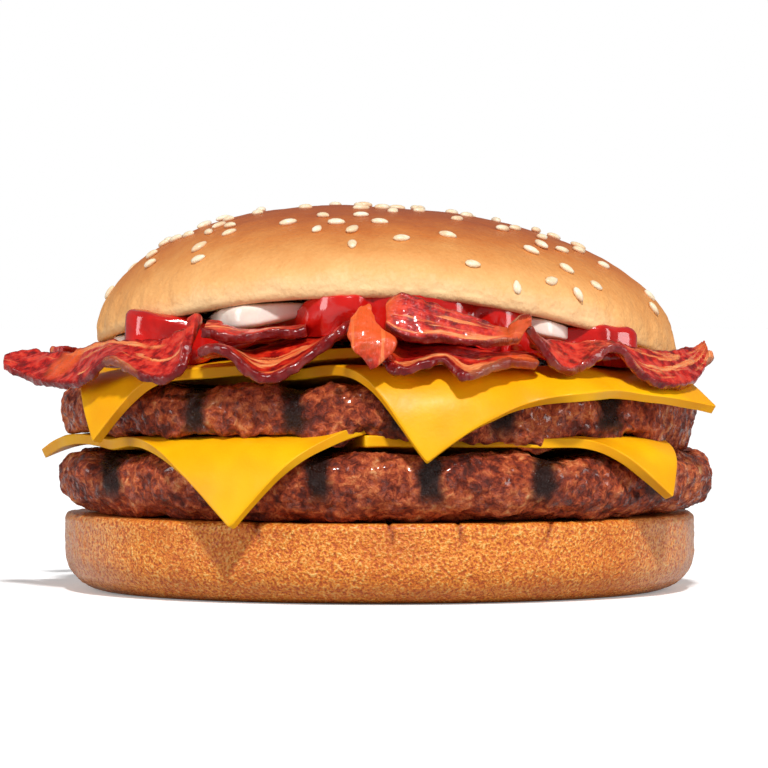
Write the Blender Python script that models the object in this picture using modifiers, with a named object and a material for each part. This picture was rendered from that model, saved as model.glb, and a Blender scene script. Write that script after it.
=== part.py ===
"""Double cheeseburger with bacon: bun, two beef patties, cheese, bacon, ketchup and mayonnaise.

The pieces are stacked from the table up. The front faces -Y, +Z is up, and the origin is the
middle of the bun's flat base. Sizes are in metres. Every slice and strip is laid on what is
already there: its middle surface is planned first, then pushed clear of the pieces under it.
"""

from math import cos, hypot, pi, radians, sin, sqrt

import bmesh
import bpy
import numpy as np
from mathutils import Matrix, Vector, noise
from mathutils.bvhtree import BVHTree

MM = 0.001
GAP = 0.3 * MM
TURN = 2 * pi

# Bottom half of the bun
HEEL_RADIUS = 60.3 * MM
HEEL_HEIGHT = 14.9 * MM
HEEL_BASE_RADIUS = 52.0 * MM
HEEL_CORNER_HEIGHT = 7.5 * MM
HEEL_SIDES = 48

# Patties: outline radius, sunken middle under the cheese, round shoulder, notches of the grill bars
PATTY_SIDES = 72
PATTY_SHOULDER = 4.6 * MM
PATTY_SINK = 3.4 * MM
PATTY_FOOT_INSET = 6.5 * MM
PATTY_UNEVEN = 1.6 * MM
PATTY_FALL = 1.3 * MM  # how much lower the top face is at its left and right ends
SUNK_SHARE, LEVEL_SHARE = 0.62, 0.88  # of the radius, between which the sunken middle ends
UNDERSIDE_SHARE = 0.86  # of the foot, inside which the underside is flat
GRILL_DEPTH = 2.4 * MM
GRILL_HALF_WIDTH = 3.0 * MM
BAR_SLANT = 0.06  # sideways step of a bar for each unit towards the back
NOTCH_INWARD = 0.7  # how far a notch also cuts into the side, as a share of its depth
LOWER_PATTY = dict(centre_x=1.5 * MM, radius=63.0 * MM, base=15.2 * MM, top=28.0 * MM,
                   bars=-48.5 * MM, pitch=20.5 * MM, seed=3.0)
UPPER_PATTY = dict(centre_x=-0.2 * MM, radius=61.2 * MM, base=27.4 * MM, top=40.8 * MM,
                   bars=-50.0 * MM, pitch=19.0 * MM, seed=11.0)

# Cheese slices: a corner, the direction of one edge and the two side lengths
CHEESE_THICKNESS = 2.0 * MM
SLICE_SIDE = 86.0 * MM
SLICE_CELLS = 11
FOLD_RADIUS = 6.5 * MM
FOLD_BLEND = 4  # degrees over which a named fold holds before the next one takes over

SLICES = {
    "cheese_lower_right": ((58 * MM, -46 * MM), 102.7, (SLICE_SIDE, 62 * MM)),
    "cheese_lower_left": ((-31 * MM, -71 * MM), 24.0, (SLICE_SIDE, SLICE_SIDE)),
    "cheese_upper_right": ((10 * MM, -77 * MM), 41.0, (72 * MM, 80 * MM)),
    "cheese_upper_left": ((-59 * MM, -44 * MM), -9.0, (58 * MM, SLICE_SIDE)),
}
# How far a slice folds down past the rim, by direction in degrees: (direction, fold)
LOWER_DROOPS = ((-113, 76), (-140, 60), (174, 22), (-40, 70), (0, 40), (90, 30))
UPPER_DROOPS = ((-83, 78), (-60, 60), (-143, 74), (-125, 55), (-20, 30), (135, 30), (30, 20))

# Bacon
BACON_THICKNESS = 1.8 * MM
SHOWN_CELLS = (26, 3)

# Each strip's near and far edge, by their turning points (x, y, z) in millimetres
STRIPS = {
    "bacon_left": (
        ((-71.5, -14, 43.0), (-66, -20, 40.5), (-61, -28, 39.5), (-55, -37, 39.8), (-50, -44, 44.2),
         (-45, -50, 42.0), (-40.5, -54, 40.5), (-36.5, -56, 42.0), (-35, -54, 47.5), (-34.5, -49, 52.5)),
        ((-71.5, -11, 44.4), (-66.5, -9, 45.4), (-62, -14, 45.2), (-57, -22, 45.4), (-52, -29, 47.0),
         (-46, -36, 47.6), (-40.5, -42, 47.6), (-36, -45, 49.5), (-33.5, -46, 51.5), (-33, -46.5, 52.5)),
    ),
    "bacon_centre": (
        ((-33, -59, 45.8), (-29, -62, 47.0), (-25.5, -62.5, 44.2), (-22.6, -62.5, 41.4),
         (-18, -62.5, 41.4), (-13, -62, 45.0), (-7, -61, 49.8), (-2.2, -58.5, 53.0),
         (0.3, -63, 45.0), (4, -65.5, 42.2), (9, -65, 44.0), (12, -64, 44.4), (15.5, -66.5, 41.0),
         (22, -62, 44.0), (29, -57, 43.4)),
        ((-31, -48, 45.8), (-27, -48, 45.8), (-24, -48, 45.4), (-21, -48, 45.2), (-17, -48, 45.6),
         (-12, -48, 46.8), (-7, -48, 49.0), (-3, -48, 49.6), (1, -48, 48.4), (5, -48, 47.0),
         (9, -48, 47.0), (12, -48, 47.0), (16, -48, 46.4), (22, -47, 45.0), (28, -46, 44.2)),
    ),
    "bacon_right": (
        ((27, -57.5, 50.6), (29.2, -57, 47.2), (31.6, -56.5, 43.8), (34.5, -55.5, 42.0),
         (38, -53, 43.6), (41.5, -50, 46.4), (44.5, -47, 46.2), (47, -45, 42.6),
         (49.5, -43, 40.6), (53.2, -39, 39.2), (57.5, -32, 39.6), (60.5, -23, 41.6),
         (62.5, -14.5, 45.2)),
        ((27.5, -48, 47.4), (29.5, -47, 48.4), (32, -45.5, 49.6), (34.5, -44.5, 49.8), (37, -43, 49.0),
         (39.5, -41, 48.2), (42, -40, 47.4), (44.5, -39.5, 46.8), (46.5, -38, 46.4),
         (50, -33, 45.8), (54.5, -25.5, 45.6), (58.5, -17.5, 46.0), (61.5, -10, 47.2)),
    ),
    "bacon_shadow": (
        ((-32.5, -54.5, 49.4), (-29.5, -55, 48.8), (-26, -55.5, 48.0), (-22.5, -56, 48.6),
         (-19.5, -56, 49.4), (-17, -55.5, 49.2), (-15, -55, 49.4), (-13.5, -54.5, 49.8)),
        ((-31.5, -48.5, 50.8), (-28.5, -48.5, 50.8), (-25.5, -48.5, 50.4), (-22.5, -48.5, 50.6),
         (-19.5, -48.5, 50.6), (-17, -48.5, 50.4), (-15, -48.5, 50.2), (-13.5, -48.5, 50.2)),
    ),
    "bacon_upper": (
        ((1.2, -61, 50.6), (4, -62, 48.8), (7.5, -62, 48.0), (11, -61.5, 48.2), (15, -61, 47.6),
         (19, -60.5, 47.4), (23, -60, 47.8), (27.5, -59, 47.2)),
        ((1.6, -57.8, 54.6), (4, -57.9, 56.4), (7, -57.8, 55.6), (11, -57.7, 54.0),
         (15, -57.6, 52.8), (19, -57.4, 51.2), (23, -57.2, 49.8), (27, -56.8, 48.6)),
    ),
    "bacon_inner": (
        ((-31, -32, 45.2), (-28, -34, 45.8), (-22, -36, 45.8), (-12, -37, 48.0), (-2, -38, 46.4),
         (8, -38, 48.2), (17, -37, 46.2), (26, -35, 47.0), (33, -30, 45.4)),
        ((-33, -12, 44.2), (-29, -13, 45.0), (-22, -14, 46.4), (-12, -14, 46.2), (-2, -14, 47.8),
         (8, -14, 46.2), (18, -14, 47.4), (27, -12, 45.4), (37, -10, 45.0)),
    ),
    "bacon_middle": (
        ((-61, -3, 44.6), (-52, -5, 43.0), (-41, -8, 44.8), (-29, -10, 45.0), (-17, -10.5, 47.2),
         (-5, -10.5, 45.8), (7, -10.5, 47.6), (18, -10, 45.6), (29, -8, 46.0), (38, -5, 44.4),
         (44, -2, 43.8)),
        ((-60, 11, 43.0), (-52, 14, 44.0), (-42, 15, 43.2), (-30, 16, 46.0), (-18, 16, 45.2),
         (-5, 16, 47.4), (8, 16, 45.8), (19, 16, 46.8), (30, 16, 44.8), (38, 16.5, 44.2),
         (43, 17, 43.8)),
    ),
    "bacon_rear_inner": (
        ((-43, 20, 44.0), (-34, 19, 44.0), (-22, 18.5, 46.4), (-9, 18.5, 45.0), (4, 18.5, 47.0),
         (16, 18.5, 45.0), (27, 18.5, 45.6), (38, 20, 43.4)),
        ((-37, 35, 44.6), (-29, 38, 44.2), (-20, 39, 44.6), (-8, 40, 46.0), (4, 40, 44.6),
         (16, 40, 45.6), (25, 38, 44.0), (34, 34, 43.8)),
    ),
    "bacon_rear_right": (
        ((66, 24, 44.8), (62, 31, 41.0), (57, 38, 40.4), (51, 44.5, 44.8), (44, 51, 42.6),
         (36, 56, 40.2), (27, 60, 44.6), (18, 62, 42.0), (10, 63, 40.6), (3, 61.5, 45.8)),
        ((60, 15, 45.6), (57, 20.5, 44.2), (52.5, 27.5, 43.2), (46, 36, 44.4), (39, 43, 44.4),
         (31, 44, 43.8), (24, 43, 45.4), (17, 43.5, 44.8), (10, 43.5, 44.6), (4, 43.5, 46.2)),
    ),
    "bacon_rear_left": (
        ((0, 61, 43.0), (-6, 62.5, 41.4), (-13, 62, 46.0), (-20, 60, 43.2), (-28, 58, 40.6),
         (-37, 53.5, 44.8), (-44, 47, 43.0), (-51, 40.5, 40.8), (-58, 31, 43.4), (-65, 24, 45.6)),
        ((0, 43.5, 45.4), (-6, 43.5, 45.2), (-13, 43.5, 46.4), (-20, 43.5, 45.6), (-27, 43, 44.6),
         (-34, 41.5, 45.0), (-41, 40, 44.2), (-48, 34, 43.8), (-55, 24, 44.8), (-62, 16, 45.6)),
    ),
}
# How finely a strip is divided, along and across: coarser where it is covered or at the back
STRIP_CELLS = {"bacon_inner": (16, 2), "bacon_middle": (16, 2), "bacon_rear_inner": (16, 2),
               "bacon_rear_left": (20, 3), "bacon_rear_right": (20, 3)}

# Top half of the bun: rim radius, dome top, and the arch and lean of the side that lies on the pile
CROWN_RADIUS = 55.6 * MM
CROWN_CENTRE_X = 1.3 * MM
CROWN_TOP = 73.2 * MM
CROWN_SIDES = 48
UNDER_MIDDLE = 53.8 * MM
UNDER_ARCH = 8.4 * MM
UNDER_LEAN_X = -0.030
UNDER_LEAN_Y = -0.040
DOME_POWER = 2.3
DOME_LEAN = -0.06
RIM_HEIGHT = 1.3 * MM
OUTSIDE_RIM = 1.025  # as a share of the crown's radius, from where bacon may pass its underside

# Sauces
MAYO_THICKNESS = 1.8 * MM
KETCHUP_THICKNESS = 1.35 * MM
SAUCE_SIDES = 36
SAUCE_UNEVEN = 1.5 * MM
THIN_SHARE, THIN_FROM, THIN_TO = 0.35, 30 * MM, 50 * MM  # left and right, sauces thin to this share
BACON_CLEAR = 5.4 * GAP  # bacon's top stays this far under the sauces

# Outline of each sauce: radius, lobes as (direction in degrees, half-width, size), unevenness
MAYO_REACH = (50.5 * MM, ((-117, 16, 4.5 * MM), (-158, 14, 4 * MM), (-57, 12, 4.5 * MM),
                          (-15, 20, 3 * MM), (80, 30, 3 * MM), (150, 18, 3 * MM)), 5.0)
KETCHUP_REACH = (47.5 * MM, ((-139, 17, 8 * MM), (-98, 14, 8 * MM), (-69, 9, 7 * MM),
                             (-40, 15, 8 * MM), (35, 18, 7 * MM), (120, 16, 7 * MM)), 9.0)
MAYO_HANG = ((-117, 14, 1.6 * MM), (-158, 12, 1.2 * MM), (80, 20, 1.2 * MM))
KETCHUP_HANG = ((-139, 16, 4.0 * MM), (-98, 14, 1.6 * MM), (-40, 14, 1.8 * MM), (35, 16, 2 * MM),
                (120, 15, 2 * MM))

# Sesame seeds: those that the front view shows, as (x, y) in millimetres and the turn of the long
# axis in degrees, and the count of all of them
SHOWN_SEEDS = (
    (-17, -33.5, 35), (-10.5, -30.5, -25), (-8, -37, -10), (-11.5, -40.5, 85), (-5, -42, 60),
    (-5, -48.5, -85), (-3.5, -31, 0), (0, -37, -20), (0.5, -17, 0), (-3.5, -20.5, 5), (-14, -16, 0),
    (-23, -15.5, 10), (-28.5, -15, 15), (-32, -24, -20), (-30.2, -20.5, 80), (-28, -24.5, 15),
    (-28, -30.5, 60), (-36, -17, 20), (-38.5, -13.5, 30), (-41, -9, 35), (-43, -15, 40),
    (-43, -22, 35), (-33.5, -31.5, 75), (-33.5, -36.5, 30), (-51.5, -4.5, 65), (4, -46, 5),
    (12.5, -41.5, -40), (2.5, -24, 50), (7.5, -18, -5), (14.5, -25.5, 0), (16.5, -13, -20),
    (17, -50, -15), (23, -26, -10), (25.5, -20.5, -15), (28, -37, -65), (30, -30.5, 80),
    (30.5, -22, -10), (34, -28, -35), (34.5, -37.5, -60), (31.5, -44, 10), (25, -49.5, 85),
    (36.5, -41.5, -80), (40, -35.5, -45), (37.5, -19.5, -25), (42, -22, -30), (51, -13.5, -55),
    (51.5, -18.5, -65),
)
SEED_COUNT = 95
SEED_LENGTH = 3.3 * MM
SEED_WIDTH = 2.0 * MM
SEED_HEIGHT = 1.2 * MM
SEED_SPACING = 5.2 * MM
SEED_SPREAD = 0.95
SEED_DRAW = 7
SEED_FREE_BEHIND = -14.0 * MM

LOOKS = {
    "heel_crust": ((0.62, 0.27, 0.07), 0.6),
    "beef": ((0.13, 0.045, 0.02), 0.4),
    "cheese": ((0.95, 0.55, 0.02), 0.35),
    "bacon": ((0.38, 0.04, 0.025), 0.3),
    "ketchup": ((0.6, 0.015, 0.01), 0.15),
    "mayonnaise": ((0.9, 0.82, 0.72), 0.3),
    "crown_crust": ((0.75, 0.38, 0.12), 0.5),
}


def clear_scene():
    for old in list(bpy.data.objects):
        bpy.data.objects.remove(old)


def new_collection(name):
    made = bpy.data.collections.new(name)
    bpy.context.scene.collection.children.link(made)
    return made


def material(name):
    colour, roughness = LOOKS[name]
    made = bpy.data.materials.get(name)
    if made is None:
        made = bpy.data.materials.new(name)
        made.use_nodes = True
        shader = made.node_tree.nodes["Principled BSDF"]
        shader.inputs["Base Color"].default_value = (*colour, 1)
        shader.inputs["Roughness"].default_value = roughness
        shader.inputs["Metallic"].default_value = 0
    return made


def add_object(name, mesh, look, collection):
    made = bpy.data.objects.new(name, mesh)
    mesh.materials.append(material(look))
    collection.objects.link(made)
    mesh.shade_smooth()
    mesh.set_sharp_from_angle(angle=radians(50))
    return made


def smoothstep(low, high, value):
    t = min(max((value - low) / (high - low), 0), 1)
    return t * t * (3 - 2 * t)


def wobble(angle, seed, size):
    """A smooth uneven value that closes on itself round a full turn."""
    where = Vector((1.3 * cos(angle), 1.3 * sin(angle), seed))
    return size * noise.noise(where) + 0.5 * size * noise.noise(where * 2.7)


class Pile:
    """The pieces made so far, as trees that can be asked for their nearest or highest point."""

    def __init__(self):
        self.trees = []

    def add(self, obj):
        mesh = obj.data
        mesh.calc_loop_triangles()
        points = [obj.matrix_world @ v.co for v in mesh.vertices]
        faces = [tuple(t.vertices) for t in mesh.loop_triangles]
        self.trees.append(BVHTree.FromPolygons(points, faces))

    def top(self, x, y):
        """The highest surface over a point of the table, or None."""
        hits = [t.ray_cast(Vector((x, y, 0.2)), Vector((0, 0, -1)))[0] for t in self.trees]
        heights = [h.z for h in hits if h is not None]
        return max(heights) if heights else None

    def top_near(self, x, y, reach):
        """The highest surface within reach of a point of the table, or None."""
        steps = (-reach, -reach / 2, 0, reach / 2, reach)
        found = [self.top(x + dx, y + dy) for dx in steps for dy in steps]
        found = [h for h in found if h is not None]
        return max(found) if found else None

    def push(self, point, clearance):
        """The move that takes a point out of every piece, to the clearance outside it."""
        move = Vector((0, 0, 0))
        for tree in self.trees:
            at, normal, _, distance = tree.find_nearest(point + move, clearance + 6 * MM)
            if at is None:
                continue
            offset = point + move - at
            outside = offset.dot(normal) > 0
            depth = distance if outside else -distance
            if depth < clearance:
                away = offset.normalized() if outside and distance > 1e-6 else normal
                move += away * (clearance - depth)
        return move


def lofted(name, rings, foot, crest, look, collection):
    """A closed body through rings of points, from the middle of its foot to its crest."""
    form = bmesh.new()
    low = form.verts.new(foot)
    loops = [[form.verts.new(p) for p in ring] for ring in rings]
    high = form.verts.new(crest)
    count = len(rings[0])
    for i in range(count):
        j = (i + 1) % count
        form.faces.new((low, loops[0][j], loops[0][i]))
        for below, above in zip(loops, loops[1:]):
            form.faces.new((below[i], below[j], above[j]))
            form.faces.new((below[i], above[j], above[i]))
        form.faces.new((loops[-1][i], loops[-1][j], high))
    mesh = bpy.data.meshes.new(name)
    form.to_mesh(mesh)
    form.free()
    return add_object(name, mesh, look, collection)


def sheet_normals(points):
    along = np.gradient(points, axis=0)
    across = np.gradient(points, axis=1)
    normals = np.cross(along, across)
    return normals / np.linalg.norm(normals, axis=2, keepdims=True)


def sheet_solid(name, middle, thickness, look, collection):
    """A thin closed body round a grid of points, its two faces split into triangles alike."""
    normals = sheet_normals(middle)
    rows, columns = middle.shape[:2]
    form = bmesh.new()
    sides = []
    for side in (1, -1):
        grid = middle + side * normals * thickness / 2
        sides.append([[form.verts.new(grid[i, j]) for j in range(columns)] for i in range(rows)])
    upper, lower = sides
    for i in range(rows - 1):
        for j in range(columns - 1):
            a, b, c, d = (upper[i][j], upper[i + 1][j], upper[i + 1][j + 1], upper[i][j + 1])
            form.faces.new((a, b, c))
            form.faces.new((a, c, d))
            a, b, c, d = (lower[i][j], lower[i + 1][j], lower[i + 1][j + 1], lower[i][j + 1])
            form.faces.new((a, c, b))
            form.faces.new((a, d, c))
    last_row, last_column = rows - 1, columns - 1
    outline = [(i, 0) for i in range(rows)] + [(last_row, j) for j in range(1, columns)]
    outline += [(i, last_column) for i in range(rows - 2, -1, -1)]
    outline += [(0, j) for j in range(columns - 2, 0, -1)]
    for (i, j), (k, m) in zip(outline, outline[1:] + outline[:1]):
        form.faces.new((upper[i][j], lower[i][j], lower[k][m]))
        form.faces.new((upper[i][j], lower[k][m], upper[k][m]))
    mesh = bpy.data.meshes.new(name)
    form.to_mesh(mesh)
    form.free()
    return add_object(name, mesh, look, collection)


def sheet_samples(points, weights=(0, 1 / 4, 1 / 2, 3 / 4)):
    """Places over the whole grid, each with the grid points round it and their shares."""
    rows, columns = points.shape[:2]
    for i in range(rows):
        for j in range(columns):
            for a in weights if i < rows - 1 else (0,):
                for b in weights if j < columns - 1 else (0,):
                    corners = [(i, j, (1 - a) * (1 - b))]
                    if a:
                        corners.append((i + 1, j, a * (1 - b)))
                    if b:
                        corners.append((i, j + 1, (1 - a) * b))
                    if a and b:
                        corners.append((i + 1, j + 1, a * b))
                    yield sum((points[p, q] * w for p, q, w in corners), np.zeros(3)), corners


def settled(points, thickness, pile, beyond, rounds=30):
    """The grid past a radius moved out of the pile, each place by the shortest way."""
    points = points.copy()
    for _ in range(rounds):
        moves = np.zeros_like(points)
        worst = 0
        for where, corners in sheet_samples(points):
            if hypot(where[0], where[1]) < beyond:
                continue
            move = np.array(pile.push(Vector(where), thickness / 2 + 3 * GAP))
            move[2] = max(move[2], 0)
            size = np.linalg.norm(move)
            worst = max(worst, size)
            for p, q, _ in corners:
                if size > np.linalg.norm(moves[p, q]):
                    moves[p, q] = move
        points += 0.7 * moves
        if worst < 0.05 * MM:
            break
    return points


def laid(points, thickness, pile, gap, within=1.0, rounds=8):
    """The grid raised until every place of it, to a radius, is above all that is already there."""
    points = points.copy()
    reach = thickness / 2 + gap
    around = [(0, 0, reach)]
    around += [(0.8 * reach * cos(TURN * k / 8), 0.8 * reach * sin(TURN * k / 8), 0.6 * reach)
               for k in range(8)]
    for _ in range(rounds):
        raised = np.zeros(points.shape[:2])
        for where, corners in sheet_samples(points):
            if hypot(where[0], where[1]) > within:
                continue
            need = where[2]
            for dx, dy, above in around:
                below = pile.top(where[0] + dx, where[1] + dy)
                if below is not None:
                    need = max(need, below + above)
            for p, q, _ in corners:
                room = need + 0.6 * MM - points[p, q, 2]
                raised[p, q] = max(raised[p, q], min(need - where[2], room))
        points[:, :, 2] += raised
        if raised.max() < 0.02 * MM:
            break
    return points


def spline(points, t):
    """A Catmull-Rom curve through the points, with t from 0 to 1 over the whole of it."""
    spans = len(points) - 1
    at = min(t * spans, spans - 1e-9)
    k = int(at)
    u = at - k
    p = [np.array(points[min(max(k + d, 0), spans)], float) for d in (-1, 0, 1, 2)]
    return 0.5 * (2 * p[1] + (p[2] - p[0]) * u
                  + (2 * p[0] - 5 * p[1] + 4 * p[2] - p[3]) * u ** 2
                  + (3 * p[1] - p[0] - 3 * p[2] + p[3]) * u ** 3)


def make_heel(collection):
    """The bottom bun: a turned profile, flat below, with a wide round lower corner."""
    corner = [
        (HEEL_BASE_RADIUS + (HEEL_RADIUS - HEEL_BASE_RADIUS) * sin(a),
         HEEL_CORNER_HEIGHT * (1 - cos(a)))
        for a in (radians(d) for d in (67.5, 45, 22.5))
    ]
    profile = [(0, HEEL_HEIGHT), (HEEL_RADIUS - 6 * MM, HEEL_HEIGHT),
               (HEEL_RADIUS - 1.2 * MM, HEEL_HEIGHT - 0.1 * MM),
               (HEEL_RADIUS - 0.1 * MM, HEEL_HEIGHT - 1.2 * MM),
               (HEEL_RADIUS, HEEL_CORNER_HEIGHT), *corner, (HEEL_BASE_RADIUS, 0), (0, 0)]
    mesh = bpy.data.meshes.new("bun_heel")
    mesh.from_pydata([(r, 0, z) for r, z in profile],
                     [(i, i + 1) for i in range(len(profile) - 1)], [])
    heel = bpy.data.objects.new("bun_heel", mesh)
    mesh.materials.append(material("heel_crust"))
    collection.objects.link(heel)
    turn = heel.modifiers.new("turn", "SCREW")
    turn.steps = turn.render_steps = HEEL_SIDES
    turn.use_merge_vertices = True
    turn.merge_threshold = 0.02 * MM
    turn.use_smooth_shade = True
    bpy.context.view_layer.update()
    finished = bpy.data.meshes.new_from_object(
        heel.evaluated_get(bpy.context.evaluated_depsgraph_get()))
    heel.modifiers.clear()
    heel.data = finished
    finished.name = "bun_heel"
    finished.set_sharp_from_angle(angle=radians(50))
    bpy.data.meshes.remove(mesh)
    return heel


def patty_radius(patty, angle):
    return patty["radius"] + wobble(angle, patty["seed"], PATTY_UNEVEN)


def patty_top(patty, x, y):
    """Height of the top face: it falls a little to the sides, and sinks under the cheese."""
    from_centre = hypot(x - patty["centre_x"], y)
    sink = PATTY_SINK * (1 - smoothstep(SUNK_SHARE, LEVEL_SHARE, from_centre / patty["radius"]))
    return patty["top"] - PATTY_FALL * (x / patty["radius"]) ** 2 - sink


def grill_notch(patty, x, y):
    """How deep a grill bar has pressed in at a point, from 0 to GRILL_DEPTH."""
    across = (x - patty["bars"] - BAR_SLANT * y) / patty["pitch"]
    off = abs(across - round(across)) * patty["pitch"]
    return GRILL_DEPTH * (1 - smoothstep(0.4 * GRILL_HALF_WIDTH, GRILL_HALF_WIDTH, off))


def make_patty(name, patty, pile, collection):
    rings = []
    height = patty["top"] - patty["base"]
    # Each ring: inset from the outline, height above the base, share of the grill notch it takes
    shoulder = [(PATTY_SHOULDER * (1 - cos(a)), height - PATTY_SHOULDER * (1 - sin(a)), share)
                for a, share in ((0, 0.5), (radians(45), 0.9), (radians(90), 1))]
    lines = [(PATTY_FOOT_INSET, 0, 0), (1.6 * MM, 2.6 * MM, 0), *shoulder, (13 * MM, height, 0.4),
             (23 * MM, height, 0)]
    for row, (inset, rise, share) in enumerate(lines):
        ring = []
        for k in range(PATTY_SIDES):
            angle = TURN * k / PATTY_SIDES
            radius = patty_radius(patty, angle)
            x = patty["centre_x"] + (radius - inset) * cos(angle)
            y = (radius - inset) * sin(angle)
            notch = grill_notch(patty, x, y) * share
            x -= NOTCH_INWARD * notch * cos(angle)
            y -= NOTCH_INWARD * notch * sin(angle)
            if row == 0:
                z = patty["base"]
            else:
                drop = patty["top"] - patty_top(patty, x, y)
                z = patty["base"] + rise - drop * rise / height - notch
            ring.append(Vector((x, y, z)))
        rings.append(ring)
    lift_ring(rings[0], pile, 5 * MM, 4 * GAP)
    lift_ring(rings[1], pile, 3 * MM, 3 * GAP)
    centre_x = patty["centre_x"]
    inner = [Vector((centre_x + (p.x - centre_x) * UNDERSIDE_SHARE, p.y * UNDERSIDE_SHARE, p.z))
             for p in rings[0]]
    lift_ring(inner, pile, 7 * MM, 4 * GAP)
    highest = max(highest_inside(pile, inner), patty["base"])
    for point in inner:
        point.z = max(point.z, highest)
    rings.insert(0, inner)
    foot = Vector((patty["centre_x"], 0, highest))
    crest = Vector((patty["centre_x"], 0, patty_top(patty, patty["centre_x"], 0)))
    return lofted(name, rings, foot, crest, "beef", collection)


def highest_inside(pile, ring):
    """The highest surface of the pile inside a ring, with the usual gap over it."""
    found = [pile.top(p.x * k / 12, p.y * k / 12) for p in ring for k in range(13)]
    return max([h + 2 * GAP for h in found if h is not None], default=0)


def lift_ring(ring, pile, reach, gap):
    """Raises each point of a ring until it is clear of the pile below."""
    for point in ring:
        below = pile.top_near(point.x, point.y, reach)
        if below is not None:
            point.z = max(point.z, below + gap)


def draped_slice(name, corner, edge_angle, sides, patty, droops, pile, collection):
    """A cheese slice that lies flat on a patty and folds down where it passes the patty's rim.

    droops lists (direction in degrees, fold in degrees): how far the slice bends there.
    """
    along = np.array((cos(radians(edge_angle)), sin(radians(edge_angle))))
    inward = np.array((-along[1], along[0]))
    middle = np.zeros((SLICE_CELLS + 1, SLICE_CELLS + 1, 3))
    for i in range(SLICE_CELLS + 1):
        for j in range(SLICE_CELLS + 1):
            flat = (np.array(corner) + along * sides[0] * i / SLICE_CELLS
                    + inward * sides[1] * j / SLICE_CELLS)
            middle[i, j] = drape_point(flat, patty, droops, pile)
    brink = patty["radius"] - PATTY_SHOULDER
    middle = laid(middle, CHEESE_THICKNESS, pile, 3 * GAP, brink + 2 * MM)
    middle = settled(middle, CHEESE_THICKNESS, pile, brink - 4 * MM)
    made = sheet_solid(name, middle, CHEESE_THICKNESS, "cheese", collection)
    pile.add(made)
    return made


def fold_at(direction, droops):
    """The fold angle in a direction, blended between the named ones."""
    total, weight = 0, 0
    for heading, fold in droops:
        apart = abs((direction - heading + 180) % 360 - 180)
        share = 1 / (FOLD_BLEND + apart) ** 2
        total += share * fold
        weight += share
    return radians(total / weight)


def drape_point(flat, patty, droops, pile):
    x, y = flat[0] - patty["centre_x"], flat[1]
    reach = hypot(x, y)
    direction = np.degrees(np.arctan2(y, x))
    rim = patty_radius(patty, np.radians(direction)) + 0.6 * MM
    start = rim - PATTY_SHOULDER
    beyond = reach - start
    lift = CHEESE_THICKNESS / 2 + 2 * GAP
    inner = min(reach, start)
    unit = np.array((x, y)) / max(reach, 1e-9)
    at = unit * inner + np.array((patty["centre_x"], 0))
    below = pile.top_near(at[0], at[1], 3 * MM) or patty["top"]
    height = below + lift
    if beyond <= 0:
        return np.array((flat[0], flat[1], height))
    fold = fold_at(direction, droops)
    turned = min(beyond / FOLD_RADIUS, fold)
    rest = max(beyond - FOLD_RADIUS * fold, 0)
    out = FOLD_RADIUS * sin(turned) + rest * cos(fold)
    down = FOLD_RADIUS * (1 - cos(turned)) + rest * sin(fold)
    place = unit * (start + out) + np.array((patty["centre_x"], 0))
    return np.array((place[0], place[1], height - down))


def under_height(x, y):
    """The side of the crown that lies on the pile: arched from left to right, and leaning."""
    return (UNDER_MIDDLE - UNDER_ARCH * (x / (54 * MM)) ** 2
            + UNDER_LEAN_X * x + UNDER_LEAN_Y * y)


def crown_reach(x, y):
    return hypot(x - CROWN_CENTRE_X, y) / CROWN_RADIUS


def sauce_share(x, y):
    """Sauce layers thin out towards the left and right edges, where the bun comes down."""
    return THIN_SHARE + (1 - THIN_SHARE) * (1 - smoothstep(THIN_FROM, THIN_TO, abs(x)))


def bacon_ceiling(x, y):
    """What bacon must stay under: the sauces below the crown, and nothing beyond its rim."""
    if crown_reach(x, y) > OUTSIDE_RIM:
        return 1.0
    sauces = (MAYO_THICKNESS + KETCHUP_THICKNESS) * sauce_share(x, y)
    return under_height(x, y) - sauces - BACON_CLEAR


def bacon_strip(name, near, far, cells, pile, collection):
    """A strip between two wavy edges, each given by its turning points (x, y, z) in millimetres."""
    rows, columns = cells
    middle = np.zeros((rows + 1, columns + 1, 3))
    for i in range(rows + 1):
        front = spline(near, i / rows) * MM
        back = spline(far, i / rows) * MM
        for j in range(columns + 1):
            point = front * (1 - j / columns) + back * j / columns
            x, y, z = point
            point[2] = min(z, bacon_ceiling(x, y) - BACON_THICKNESS / 2)
            middle[i, j] = point
    middle = laid(middle, BACON_THICKNESS, pile, 1.4 * GAP)
    over, x, y = max((z - bacon_ceiling(x, y) + BACON_THICKNESS / 2, x, y)
                     for x, y, z in middle.reshape(-1, 3))
    if over > 0.1 * MM:
        print(f"{name} passes the sauces' underside by {over / MM:.2f} mm at {x / MM:.0f}, {y / MM:.0f}")
    made = sheet_solid(name, middle, BACON_THICKNESS, "bacon", collection)
    pile.add(made)
    return made


def lobes(direction, named):
    """Sum of rounded lobes at named directions: (degrees, half-width in degrees, size)."""
    total = 0
    for heading, width, size in named:
        apart = abs((direction - heading + 180) % 360 - 180)
        total += size * (1 - smoothstep(0.25 * width, width, apart))
    return total


def sauce_reach(base, named, seed):
    """Outline radius of a sauce layer at each of its angles."""
    angles = [TURN * k / SAUCE_SIDES for k in range(SAUCE_SIDES)]
    return [base + wobble(a, seed, SAUCE_UNEVEN) + lobes(np.degrees(a), named) for a in angles]


def sauce_point(angle, radius, height):
    x = CROWN_CENTRE_X + radius * cos(angle)
    y = radius * sin(angle)
    return Vector((x, y, height(x, y)))


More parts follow.
